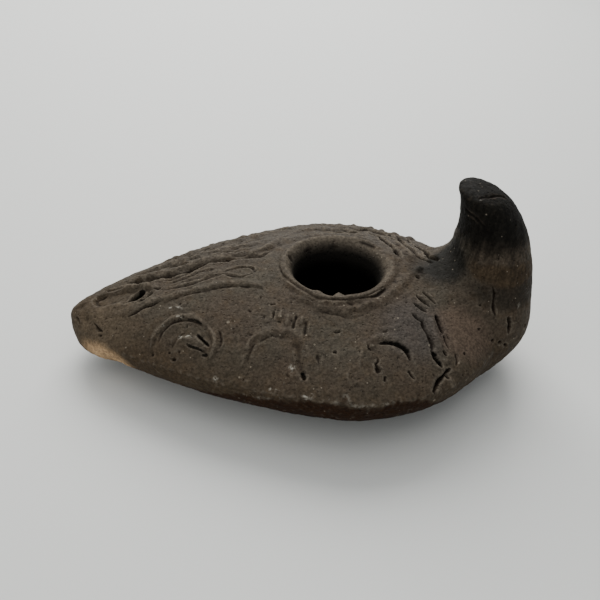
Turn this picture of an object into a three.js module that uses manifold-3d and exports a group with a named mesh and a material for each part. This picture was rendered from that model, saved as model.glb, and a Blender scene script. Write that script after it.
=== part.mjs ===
// A slipper-shaped clay oil lamp, moulded in two halves and fired as one hollow piece.
// Millimetres, +Z up. The nozzle points to -X, the handle stands at +X, and the foot is on Z = 0.
// The lamp is worked out around the filling hole's axis, and moved at the end to the middle of its length.
import * as THREE from "three";
import { ParametricGeometry } from "three/addons/geometries/ParametricGeometry.js";
import { mergeVertices } from "three/addons/utils/BufferGeometryUtils.js";
import Module from "manifold-3d";

const wasm = await Module();
wasm.setup();

// Bowl: lengths are measured from the filling hole's axis, heights from the foot
const NOSE_LENGTH = 56.2;
const REAR_LENGTH = 36.1;
const BOWL_WIDTH = 65;
const SHOULDER_HEIGHT = 23.6;
const SHOULDER_FALL_AT_NOZZLE = 11.35;
const SHOULDER_FALL_AT_REAR = 4.9;
const PARTING_HEIGHT = 13.9;
const PARTING_FALL_AT_NOZZLE = 4.3;
const FOOT_SINK = 0.6;
const KEEL_RISE_AT_NOZZLE = 5.3;
const KEEL_RISE_AT_REAR = 5.5;
const END_ROUNDING = 6.9;

// Walls of the oil chamber
const SIDE_WALL = 4;
const ROOF_WALL = 3.6;
const FLOOR_WALL = 4.6;
const NOZZLE_SOLID = 8.5;

// Filling hole and the rings around it
const RIM_CREST_RADIUS = 11.9;
const RIM_BELOW_SHOULDER = 0.1;
const RIM_RING_RADIUS = 1.5;
const HOLE_RADIUS = 9.2;
const FUNNEL_DEPTH = 4.2;
const OUTER_RING_GAP = 2.9;
const OUTER_RING_RADIUS = 1;

// Nozzle: a shallow oval recess with the wick hole at its inner end
const RECESS_FRONT = 4.6;
const RECESS_LENGTH = 12.5;
const RECESS_WIDTH = 6.2;
const RECESS_DEPTH = 1.5;
const RECESS_OFFSET = -1;
const WICK_HOLE_LENGTH = 5.2;
const WICK_HOLE_WIDTH = 4.4;
const WICK_HOLE_FROM_TIP = 14.4;

// Relief: how thick the raised lines are, how far they stand proud and how deep the cut ones go
const RIDGE_RADIUS = 0.9;
const RIDGE_PROUD = 0.75;
const ARCH_RIDGE_RADIUS = 0.8;
const ARCH_PROUD = 0.6;
const ARCH_HALF_SPAN = 5.3;
const GROOVE_RADIUS = 0.5;
const GROOVE_DEPTH = 0.45;

// Handle: a horn that leans over the bowl
const HANDLE_ABOVE_SHOULDER = 19;
const HANDLE_BEHIND_BOWL = 8.1;
const HANDLE_DEPTH = 20.6;
const HANDLE_WIDTH = 18;
const HANDLE_ROOT_WIDTH = 42;

// Fineness of the faceted surfaces
const BOWL_STATIONS = 38;
const BOWL_SIDES = 38;
const CHAMBER_STATIONS = 20;
const CHAMBER_SIDES = 22;
const HANDLE_STATIONS = 20;
const HANDLE_SIDES = 20;
const RING_STEPS = 40;
const RIDGE_STEPS = 18;
const ARCH_STEPS = 14;
const LEAF_STEPS = 24;
const STROKE_STEPS = 4;
const LINE_SIDES = 6;
const RECESS_RINGS = 8;
const RECESS_SIDES = 20;
const WICK_HOLE_SIDES = 12;

// Shapes of the free form, as exponents of its curves
const NOSE_PLAN = { inner: 1.24, outer: 0.632 };
const NOZZLE_FALL_POWER = 1.89;
const PARTING_FALL_POWER = 1.5;
const KEEL_POWER = 1.8;
const CROWN = { inner: 1.9, outer: 0.93 };
const BELLY = { inner: 2.4, outer: 0.455 };
const LINE_END = { inner: 6, outer: 0.5 };
const ARCH_ROUNDNESS = 0.7;
const HANDLE_FLARE = { reach: 0.6, power: 2 };
const HANDLE_TIP = { reach: 0.55, power: 2.2 };

// The horn's front and back outlines, from the root to the tip, as shares: how far forward of its
// back over its depth, and how high, where 1 is the shoulder's height and 2 is the tip's
const HORN_FRONT = [
  [1.6, 0.59],
  [1.335, 0.89],
  [1.097, 1.08],
  [1.02, 1.32],
  [1, 1.56],
  [1.044, 1.82],
  [1.063, 1.95],
  [0.97, 2],
];
const HORN_BACK = [
  [0.825, 0.06],
  [0.364, 0.14],
  [0.058, 0.45],
  [0.063, 0.8],
  [0.194, 1.22],
  [0.36, 1.56],
  [0.612, 1.86],
  [0.97, 2],
];

const rimCrestHeight = SHOULDER_HEIGHT - RIM_BELOW_SHOULDER;
const halfTurn = Math.PI;
const fullTurn = 2 * Math.PI;

// A share of the way from the hole's axis to the nozzle's tip (negative) or to the rear (positive)
function station(share) {
  return share < 0 ? share * NOSE_LENGTH : share * REAR_LENGTH;
}

// Half of the bowl's width at a length x, between its two ends
function halfWidth(x, nose, rear, half) {
  if (x < 0) {
    const towardNose = Math.min(1, -x / nose);
    return half * (1 - towardNose ** NOSE_PLAN.inner) ** NOSE_PLAN.outer;
  }
  const towardRear = Math.min(1, x / rear);
  return half * Math.sqrt(1 - towardRear ** 2);
}

// Heights of the bowl's middle line on top, of the seam between its two halves, and of its underside
function shoulderHeight(x) {
  const towardNose = Math.max(0, -x / NOSE_LENGTH);
  const towardRear = Math.max(0, x / REAR_LENGTH);
  const fall = SHOULDER_FALL_AT_NOZZLE * towardNose ** NOZZLE_FALL_POWER;
  return SHOULDER_HEIGHT - fall - SHOULDER_FALL_AT_REAR * towardRear ** 2;
}

function partingHeight(x) {
  const towardNose = Math.max(0, -x / NOSE_LENGTH);
  return PARTING_HEIGHT - PARTING_FALL_AT_NOZZLE * towardNose ** PARTING_FALL_POWER;
}

function keelHeight(x) {
  const towardNose = Math.max(0, -x / NOSE_LENGTH);
  const towardRear = Math.max(0, x / REAR_LENGTH);
  return (
    KEEL_RISE_AT_NOZZLE * towardNose ** KEEL_POWER +
    KEEL_RISE_AT_REAR * towardRear ** 2 -
    FOOT_SINK
  );
}

// How full the section still is near the two ends, where it closes to a point
function endFullness(width) {
  const closing = Math.max(0, 1 - width / END_ROUNDING);
  return Math.sqrt(1 - closing ** 2);
}

function crownHeight(x, y) {
  const width = halfWidth(x, NOSE_LENGTH, REAR_LENGTH, BOWL_WIDTH / 2);
  const across = Math.min(1, Math.abs(y) / Math.max(width, Number.EPSILON));
  const rise = (shoulderHeight(x) - partingHeight(x)) * endFullness(width);
  return partingHeight(x) + rise * (1 - across ** CROWN.inner) ** CROWN.outer;
}

function bellyHeight(x, across, width, floor) {
  const drop = (partingHeight(x) - keelHeight(x) - floor) * endFullness(width);
  return partingHeight(x) - drop * (1 - across ** BELLY.inner) ** BELLY.outer;
}

// A geometry with its shared corners merged and its empty triangles dropped, as a manifold solid
function solidOf(geometry) {
  const bare = new THREE.BufferGeometry();
  bare.setAttribute("position", geometry.getAttribute("position"));
  bare.setIndex(geometry.getIndex());
  const merged = mergeVertices(bare, 1e-4);
  const corners = merged.getIndex().array;
  const triangles = [];
  for (let start = 0; start < corners.length; start += 3) {
    const [a, b, c] = corners.slice(start, start + 3);
    if (a !== b && b !== c && c !== a) {
      triangles.push(a, b, c);
    }
  }
  return new wasm.Manifold(
    new wasm.Mesh({
      numProp: 3,
      vertProperties: new Float32Array(merged.getAttribute("position").array),
      triVerts: new Uint32Array(triangles),
    }),
  );
}

// A closed skin from pointAt(along, angle), where both ends draw together to a point
function skin(pointAt, steps, sides) {
  const place = (along, turn, target) => target.copy(pointAt(along, (turn % 1) * fullTurn));
  return solidOf(new ParametricGeometry(place, steps, sides));
}

// A round bar along pathAt(0 to 1), thinning to nothing at its ends unless the path is a closed loop
function bar(pathAt, radius, steps, closed = false) {
  const reach = 0.5 / steps;
  return skin(
    (along, angle) => {
      const here = closed ? along % 1 : along;
      const before = pathAt(closed ? (here + 1 - reach) % 1 : Math.max(0, here - reach));
      const after = pathAt(closed ? (here + reach) % 1 : Math.min(1, here + reach));
      const side = new THREE.Vector3(before.y - after.y, after.x - before.x, 0).normalize();
      const thinning = closed ? 1 : (1 - Math.abs(2 * here - 1) ** LINE_END.inner) ** LINE_END.outer;
      return pathAt(here)
        .addScaledVector(side, -Math.cos(angle) * radius * thinning)
        .addScaledVector(new THREE.Vector3(0, 0, 1), Math.sin(angle) * radius * thinning);
    },
    steps,
    LINE_SIDES,
  );
}

// The bowl's outer form: its belly reaches below Z = 0, where the foot is cut flat
function bowlForm() {
  const pointAt = (along, angle) => {
    const x = -NOSE_LENGTH + ((NOSE_LENGTH + REAR_LENGTH) * (1 - Math.cos(along * halfTurn))) / 2;
    const width = halfWidth(x, NOSE_LENGTH, REAR_LENGTH, BOWL_WIDTH / 2);
    const across = -Math.cos(angle);
    const upper = Math.sin(angle) >= 0;
    const z = upper ? crownHeight(x, across * width) : bellyHeight(x, Math.abs(across), width, 0);
    return new THREE.Vector3(x, across * width, z);
  };
  return skin(pointAt, BOWL_STATIONS, BOWL_SIDES);
}

// The oil chamber: the bowl's form drawn in by the walls, and shorter at the solid end of the nozzle
function chamberForm() {
  const nose = NOSE_LENGTH - NOZZLE_SOLID;
  const rear = REAR_LENGTH - SIDE_WALL;
  const pointAt = (along, angle) => {
    const x = -nose + ((nose + rear) * (1 - Math.cos(along * halfTurn))) / 2;
    const width = halfWidth(x, nose, rear, BOWL_WIDTH / 2 - SIDE_WALL);
    const across = Math.abs(Math.cos(angle));
    const middle = partingHeight(x);
    const roof = Math.max(0, shoulderHeight(x) - ROOF_WALL - middle) * endFullness(width);
    const z =
      Math.sin(angle) >= 0
        ? middle + roof * (1 - across ** CROWN.inner) ** CROWN.outer
        : bellyHeight(x, across, width, FLOOR_WALL);
    return new THREE.Vector3(x, -Math.cos(angle) * width, z);
  };
  return skin(pointAt, CHAMBER_STATIONS, CHAMBER_SIDES);
}

// The filling hole: a funnel below the rim's crest, then a straight bore into the chamber
function fillingHole() {
  const above = rimCrestHeight + RIM_RING_RADIUS;
  const mouth = RIM_CREST_RADIUS + RIM_RING_RADIUS / 2;
  const profile = [
    new THREE.Vector2(0, PARTING_HEIGHT),
    new THREE.Vector2(HOLE_RADIUS, PARTING_HEIGHT),
    new THREE.Vector2(HOLE_RADIUS, rimCrestHeight - FUNNEL_DEPTH),
    new THREE.Vector2((HOLE_RADIUS + RIM_CREST_RADIUS) / 2, rimCrestHeight - FUNNEL_DEPTH / 2),
    new THREE.Vector2(RIM_CREST_RADIUS, rimCrestHeight),
    new THREE.Vector2(mouth, above),
    new THREE.Vector2(0, above),
  ];
  const lathe = new THREE.LatheGeometry(profile, RING_STEPS);
  return solidOf(lathe.rotateX(halfTurn / 2));
}

// The rim's own ring is level, and the outer ring lies on the shoulder around it
function holeRings() {
  const rimMiddle = rimCrestHeight - RIM_RING_RADIUS;
  const outerRadius = RIM_CREST_RADIUS + OUTER_RING_GAP;
  const rimAt = (along) => {
    const turn = along * fullTurn;
    return new THREE.Vector3(
      RIM_CREST_RADIUS * Math.cos(turn),
      RIM_CREST_RADIUS * Math.sin(turn),
      rimMiddle,
    );
  };
  const outerAt = (along) => {
    const x = outerRadius * Math.cos(along * fullTurn);
    const y = outerRadius * Math.sin(along * fullTurn);
    return new THREE.Vector3(x, y, crownHeight(x, y) - OUTER_RING_RADIUS / 2);
  };
  return [
    bar(rimAt, RIM_RING_RADIUS, RING_STEPS, true),
    bar(outerAt, OUTER_RING_RADIUS, RING_STEPS, true),
  ];
}

// A line on the shoulder through points given as [share along, share of the half width across]
function lineOnShoulder(points, lift) {
  const plan = new THREE.CatmullRomCurve3(
    points.map(([along, across]) => {
      const x = station(along);
      const width = halfWidth(x, NOSE_LENGTH, REAR_LENGTH, BOWL_WIDTH / 2);
      return new THREE.Vector3(x, across * width, 0);
    }),
  );
  return (share) => {
    const point = plan.getPoint(share);
    return point.setZ(crownHeight(point.x, point.y) + lift);
  };
}

// Two ridges run from the outer ring to the nozzle and frame the channel
function channelRidges() {
  const near = [
    [-0.2, -0.34],
    [-0.27, -0.227],
    [-0.37, -0.169],
    [-0.51, -0.16],
    [-0.64, -0.246],
    [-0.8, -0.43],
  ];
  const far = [
    [-0.23, 0.3],
    [-0.28, 0.22],
    [-0.37, 0.22],
    [-0.5, 0.24],
    [-0.59, 0.165],
    [-0.8, 0.26],
  ];
  const lift = RIDGE_PROUD - RIDGE_RADIUS;
  return [near, far].map((points) => bar(lineOnShoulder(points, lift), RIDGE_RADIUS, RIDGE_STEPS));
}

// The leaf in the channel is a loop with its point toward the nozzle
function channelLeaf() {
  const loop = [
    [-0.62, -0.13],
    [-0.5, -0.04],
    [-0.435, 0.04],
    [-0.39, 0.085],
    [-0.33, 0.07],
    [-0.31, 0.01],
    [-0.345, -0.045],
    [-0.4, -0.04],
    [-0.45, 0.02],
    [-0.53, 0.05],
    [-0.6, -0.03],
  ];
  return bar(lineOnShoulder(loop, -GROOVE_RADIUS / 2), GROOVE_RADIUS, LEAF_STEPS);
}

// Three arches on each side stand with their feet to the seam
function arches() {
  const places = [
    { along: -0.57, crown: 0.5, foot: 0.78 },
    { along: -0.255, crown: 0.61, foot: 0.82 },
    { along: 0.175, crown: 0.63, foot: 0.85 },
  ];
  const archAt = (place, side) => (share) => {
    const angle = share * halfTurn;
    const x = station(place.along) - ARCH_HALF_SPAN * Math.cos(angle);
    const across = place.foot + (place.crown - place.foot) * Math.sin(angle) ** ARCH_ROUNDNESS;
    const y = side * across * halfWidth(x, NOSE_LENGTH, REAR_LENGTH, BOWL_WIDTH / 2);
    return new THREE.Vector3(x, y, crownHeight(x, y) + ARCH_PROUD - ARCH_RIDGE_RADIUS);
  };
  return [-1, 1].flatMap((side) =>
    places.map((place) => bar(archAt(place, side), ARCH_RIDGE_RADIUS, ARCH_STEPS)),
  );
}

// The cut lines: a branch of four leaves on two stems by the handle, on both sides
function branchGrooves() {
  const leafCount = 4;
  const leaves = Array.from({ length: leafCount }, (_, index) => [
    [0.46 - 0.03 * index, 0.27 + 0.055 * index],
    [0.52 - 0.035 * index, 0.37 + 0.05 * index],
  ]);
  const stems = [
    [
      [0.43, 0.54],
      [0.44, 0.68],
      [0.44, 0.76],
      [0.48, 0.84],
    ],
    [
      [0.51, 0.5],
      [0.525, 0.64],
      [0.545, 0.73],
    ],
  ];
  const lift = GROOVE_RADIUS - GROOVE_DEPTH;
  return [-1, 1].flatMap((side) =>
    [...leaves, ...stems].map((line) => {
      const points = line.map(([along, across]) => [along, side * across]);
      return bar(lineOnShoulder(points, lift), GROOVE_RADIUS, STROKE_STEPS * (line.length - 1));
    }),
  );
}

// Shallow strokes stand in a row beside the middle arch, where worn marks were pressed into the mould
function pressedStrokes() {
  const strokeCount = 4;
  const strokes = Array.from({ length: strokeCount }, (_, index) => [
    [-0.25 + 0.035 * index, 0.42 + 0.03 * (index % 2)],
    [-0.265 + 0.035 * index, 0.53 + 0.03 * (index % 2)],
  ]);
  const lift = GROOVE_RADIUS - GROOVE_DEPTH;
  return strokes.map((stroke) => {
    const points = stroke.map(([along, across]) => [along, -across]);
    return bar(lineOnShoulder(points, lift), GROOVE_RADIUS, STROKE_STEPS);
  });
}

// The nozzle's oval recess follows the shoulder, and the wick hole goes down from it into the chamber
function nozzleCuts() {
  const recessMiddle = -NOSE_LENGTH + RECESS_FRONT + RECESS_LENGTH / 2;
  const dish = (along, angle) => {
    const ring = Math.sin(along * halfTurn);
    const x = recessMiddle + (RECESS_LENGTH / 2) * ring * Math.cos(angle);
    const y = RECESS_OFFSET - (RECESS_WIDTH / 2) * ring * Math.sin(angle);
    return new THREE.Vector3(x, y, crownHeight(x, y) - RECESS_DEPTH * Math.cos(along * halfTurn));
  };
  const wickMiddle = -NOSE_LENGTH + WICK_HOLE_FROM_TIP;
  const depth = SHOULDER_HEIGHT - partingHeight(wickMiddle);
  const hole = new THREE.CylinderGeometry(1, 1, depth, WICK_HOLE_SIDES);
  hole.rotateX(halfTurn / 2);
  hole.scale(WICK_HOLE_LENGTH / 2, WICK_HOLE_WIDTH / 2, 1);
  hole.translate(wickMiddle, RECESS_OFFSET, SHOULDER_HEIGHT - depth / 2);
  return [skin(dish, RECESS_RINGS, RECESS_SIDES), solidOf(hole)];
}

// The horn is drawn between its front and back outlines, which meet at the tip and start in the bowl
function handleForm() {
  const back = REAR_LENGTH + HANDLE_BEHIND_BOWL;
  const outline = (shares) =>
    new THREE.CatmullRomCurve3(
      shares.map(([forward, level]) => {
        const above = Math.max(0, level - 1) * HANDLE_ABOVE_SHOULDER;
        const height = Math.min(1, level) * SHOULDER_HEIGHT + above;
        return new THREE.Vector3(back - forward * HANDLE_DEPTH, 0, height);
      }),
    );
  const front = outline(HORN_FRONT);
  const rear = outline(HORN_BACK);
  const sideways = new THREE.Vector3(0, 1, 0);
  const pointAt = (along, angle) => {
    const inner = front.getPoint(along);
    const outer = rear.getPoint(along);
    const middle = inner.clone().lerp(outer, 0.5);
    if (along === 0) {
      return middle;
    }
    const towardBack = outer.sub(inner).multiplyScalar(0.5);
    const flare = (1 - Math.min(1, along / HANDLE_FLARE.reach)) ** HANDLE_FLARE.power;
    const spread = (HANDLE_WIDTH + (HANDLE_ROOT_WIDTH - HANDLE_WIDTH) * flare) / 2;
    const towardTip = Math.max(0, 1 - (1 - along) / HANDLE_TIP.reach);
    const closing = Math.sqrt(1 - towardTip ** HANDLE_TIP.power);
    return middle
      .addScaledVector(towardBack, Math.cos(angle))
      .addScaledVector(sideways, -Math.sin(angle) * spread * closing);
  };
  return skin(pointAt, HANDLE_STATIONS, HANDLE_SIDES);
}

// What lies below Z = 0 is cut away, which leaves a flat oval foot
function belowFoot() {
  const depth = FOOT_SINK + 1;
  const block = new THREE.BoxGeometry(BOWL_WIDTH, BOWL_WIDTH, depth);
  return solidOf(block.translate(0, 0, -depth / 2));
}

function lampSolid() {
  const raised = [handleForm(), ...holeRings(), ...channelRidges(), channelLeaf(), ...arches()];
  const cut = [
    ...branchGrooves(),
    ...pressedStrokes(),
    ...nozzleCuts(),
    belowFoot(),
    chamberForm(),
    fillingHole(),
  ];
  const full = raised.reduce((solid, piece) => solid.add(piece), bowlForm());
  return cut.reduce((solid, piece) => solid.subtract(piece), full);
}

function geometryOf(solid) {
  const { vertProperties, triVerts } = solid.getMesh();
  const geometry = new THREE.BufferGeometry();
  geometry.setAttribute("position", new THREE.BufferAttribute(vertProperties, 3));
  geometry.setIndex(new THREE.BufferAttribute(triVerts, 1));
  geometry.computeVertexNormals();
  return geometry;
}

const firedClay = new THREE.MeshStandardMaterial({
  color: 0x4b4138,
  roughness: 0.82,
  metalness: 0,
});

const lamp = new THREE.Mesh(geometryOf(lampSolid()), firedClay);
lamp.name = "oil_lamp";
lamp.geometry.computeBoundingBox();
const lengthMiddle = lamp.geometry.boundingBox.getCenter(new THREE.Vector3()).x;
lamp.position.set(-lengthMiddle, 0, 0);

const oilLamp = new THREE.Group();
oilLamp.add(lamp);

export default oilLamp;
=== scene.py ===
"""Finishes a slipper-shaped clay oil lamp: worn mould relief, cracks, sooty blackening, painted shade and
highlight, and scorched clay.

The form is worked out in millimetres round the filling hole's axis, as the lamp's solid is, with the
nozzle towards -X, the handle towards +X and the near side towards -Y.
"""

import logging
import math
from dataclasses import dataclass, field
from enum import Enum

import bmesh
import bpy
import numpy as np
from mathutils import Matrix, Vector, noise
from mathutils.bvhtree import BVHTree
from mathutils.kdtree import KDTree


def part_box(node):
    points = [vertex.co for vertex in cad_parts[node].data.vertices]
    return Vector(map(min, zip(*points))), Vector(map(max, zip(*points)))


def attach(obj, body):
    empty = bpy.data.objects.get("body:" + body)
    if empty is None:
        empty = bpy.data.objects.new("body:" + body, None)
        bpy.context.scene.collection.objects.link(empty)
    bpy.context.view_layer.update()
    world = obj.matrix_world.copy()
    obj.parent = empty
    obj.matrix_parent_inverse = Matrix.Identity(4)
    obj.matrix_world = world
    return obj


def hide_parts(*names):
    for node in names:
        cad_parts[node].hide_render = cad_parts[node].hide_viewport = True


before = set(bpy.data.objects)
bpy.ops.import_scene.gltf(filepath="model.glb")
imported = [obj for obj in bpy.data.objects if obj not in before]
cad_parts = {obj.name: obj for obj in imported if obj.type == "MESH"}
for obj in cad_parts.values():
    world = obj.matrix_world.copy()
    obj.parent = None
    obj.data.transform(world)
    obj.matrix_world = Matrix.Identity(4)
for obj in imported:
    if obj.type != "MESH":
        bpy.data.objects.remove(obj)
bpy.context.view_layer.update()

LOG = logging.getLogger("oil_lamp")
NODE = "oil_lamp"
MM = 0.001
TINY = 1e-9
Mesh = bpy.types.Mesh
Socket = bpy.types.NodeSocket


class Cut(Enum):
    """How a stroke of the relief meets the clay around it."""

    RIDGE = "ridge"
    GROOVE = "groove"
    CRACK = "crack"
    TROUGH = "trough"


class Side(Enum):
    """The side that a stroke is drawn from: (x, y) from above, (x, z) from the near side."""

    TOP = "top"
    NEAR = "near"


def smooth_rise(value: np.ndarray, low: float, high: float) -> np.ndarray:
    """Rises smoothly from 0 at low to 1 at high.

    Args:
        value: the numbers to map.
        low: where the rise starts.
        high: where the rise ends, which may be below low.

    Returns:
        An array of the same shape, from 0 to 1.
    """
    share = np.clip((value - low) / (high - low), 0.0, 1.0)
    return share * share * (3.0 - 2.0 * share)


def rounded_path(points: np.ndarray, shares: np.ndarray) -> np.ndarray:
    """Follows a centripetal Catmull-Rom curve through points.

    Args:
        points: corner points, one a row.
        shares: places along the curve, from 0 to 1.

    Returns:
        One point a row for each share.
    """
    knots = np.vstack([2.0 * points[0] - points[1], points, 2.0 * points[-1] - points[-2]])
    place = np.clip(shares, 0.0, 1.0) * (len(points) - 1)
    first = np.minimum(place.astype(int), len(points) - 2)
    weight = (place - first)[:, None]
    p0, p1, p2, p3 = (knots[first + step] for step in range(4))
    pairs = ((p0, p1), (p1, p2), (p2, p3))
    g0, g1, g2 = (np.linalg.norm(b - a, axis=1)[:, None] ** 0.5 + TINY for a, b in pairs)
    start = ((p1 - p0) / g0 - (p2 - p0) / (g0 + g1) + (p2 - p1) / g1) * g1
    end = ((p2 - p1) / g1 - (p3 - p1) / (g1 + g2) + (p3 - p2) / g2) * g1
    cubic = 2.0 * p1 - 2.0 * p2 + start + end
    square = 3.0 * p2 - 3.0 * p1 - 2.0 * start - end
    return ((cubic * weight + square) * weight + start) * weight + p1


def ripple(points: np.ndarray, size: float, shift: float = 0.0) -> np.ndarray:
    """Reads smooth noise at points.

    Args:
        points: places, one a row.
        size: the length of one wave.
        shift: moves the noise, so that two readings differ.

    Returns:
        A number from about -1 to 1 for each point.
    """
    scaled = points / size + shift
    return np.fromiter((noise.noise(place) for place in scaled.tolist()), float, len(scaled))


def link(name: str, mesh: Mesh) -> bpy.types.Object:
    """Makes an object of a mesh in the scene.

    Args:
        name: the object's name.
        mesh: its mesh.

    Returns:
        The new object.
    """
    made = bpy.data.objects.new(name, mesh)
    bpy.context.scene.collection.objects.link(made)
    return made


def mesh_of(name: str, form: bmesh.types.BMesh) -> Mesh:
    """Turns a bmesh into a mesh and frees it.

    Args:
        name: the mesh's name.
        form: the bmesh.

    Returns:
        The new mesh.
    """
    mesh = bpy.data.meshes.new(name)
    form.to_mesh(mesh)
    form.free()
    return mesh


def rows_of(items: object, key: str) -> np.ndarray:
    """Reads a vector from each of a mesh's items.

    Args:
        items: the mesh's vertices or vertex normals.
        key: the vector's name.

    Returns:
        One vector a row.
    """
    flat = np.empty(len(items) * 3)
    items.foreach_get(key, flat)
    return flat.reshape(-1, 3)


def points_of(mesh: Mesh) -> np.ndarray:
    """Reads a mesh's vertices, one a row."""
    return rows_of(mesh.vertices, "co")


def normals_of(mesh: Mesh) -> np.ndarray:
    """Reads a mesh's vertex normals, one a row."""
    return rows_of(mesh.vertex_normals, "vector")


def place_points(mesh: Mesh, points: np.ndarray) -> None:
    """Moves a mesh's vertices to the given points."""
    mesh.vertices.foreach_set("co", points.ravel())
    mesh.update()


def relaxed(mesh: Mesh, points: np.ndarray, weight: np.ndarray, rounds: int) -> np.ndarray:
    """Draws points towards the middle of their neighbours.

    Args:
        mesh: the mesh whose edges say which points are neighbours.
        points: the points to start from, one a row.
        weight: how far each point goes in a round, from 0 to 1.
        rounds: the number of rounds.

    Returns:
        The smoothed points.
    """
    pairs = np.empty(len(mesh.edges) * 2, dtype=np.int64)
    mesh.edges.foreach_get("vertices", pairs)
    pairs = pairs.reshape(-1, 2)
    pairs = pairs[(weight[pairs] > 0.0).any(axis=1)]
    ends = np.concatenate([pairs[:, 0], pairs[:, 1]])
    others = np.concatenate([pairs[:, 1], pairs[:, 0]])
    count = np.maximum(1.0, np.bincount(ends, minlength=len(points)))
    result = points.copy()
    for _ in range(rounds):
        for axis in range(3):
            mean = np.bincount(ends, result[others, axis], len(points)) / count
            result[:, axis] += weight * (mean - result[:, axis])
    return result


def reshaped(mesh: Mesh, kind: str, **settings: object) -> Mesh:
    """Puts a mesh through one modifier.

    Args:
        mesh: the mesh, which is removed afterwards.
        kind: the modifier's type.
        **settings: the modifier's own settings.

    Returns:
        The mesh that comes out.
    """
    work = link("work", mesh)
    modifier = work.modifiers.new("work", kind)
    for key, value in settings.items():
        setattr(modifier, key, value)
    graph = bpy.context.evaluated_depsgraph_get()
    result = bpy.data.meshes.new_from_object(work.evaluated_get(graph))
    bpy.data.objects.remove(work)
    bpy.data.meshes.remove(mesh)
    return result


def cut_away(mesh: Mesh, tool: Mesh) -> Mesh:
    """Cuts one closed mesh out of another.

    Args:
        mesh: the mesh to cut.
        tool: the closed mesh that is taken away.

    Returns:
        The cut mesh.
    """
    cutter = link("cutter", tool)
    result = reshaped(mesh, "BOOLEAN", operation="DIFFERENCE", solver="MANIFOLD", object=cutter)
    bpy.data.objects.remove(cutter)
    bpy.data.meshes.remove(tool)
    return result


def ball(name: str, around: int, along: int) -> Mesh:
    """Makes a sphere of radius 1 whose poles become a form's two ends.

    Args:
        name: the mesh's name.
        around: the number of sides round the poles' axis.
        along: the number of bands from pole to pole.

    Returns:
        The sphere.
    """
    form = bmesh.new()
    bmesh.ops.create_uvsphere(form, u_segments=around, v_segments=along, radius=1.0)
    return mesh_of(name, form)


def turned(name: str, outline: list[tuple[float, float]], closed: bool, steps: int) -> Mesh:
    """Spins an outline round the filling hole's axis.

    Args:
        name: the mesh's name.
        outline: radius and height of each corner.
        closed: True if the last corner joins the first, or else both lie on the axis.
        steps: the number of sides.

    Returns:
        A closed mesh.
    """
    form = bmesh.new()
    corners = [form.verts.new((radius, 0.0, height)) for radius, height in outline]
    for first, second in zip(corners, corners[1:] + corners[:1] if closed else corners[1:]):
        form.edges.new((first, second))
    bmesh.ops.spin(
        form,
        geom=form.verts[:] + form.edges[:],
        axis=(0.0, 0.0, 1.0),
        cent=(0.0, 0.0, 0.0),
        angle=2.0 * math.pi,
        steps=steps,
    )
    bmesh.ops.remove_doubles(form, verts=form.verts, dist=1e-4)
    bmesh.ops.recalc_face_normals(form, faces=form.faces)
    return mesh_of(name, form)


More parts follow.
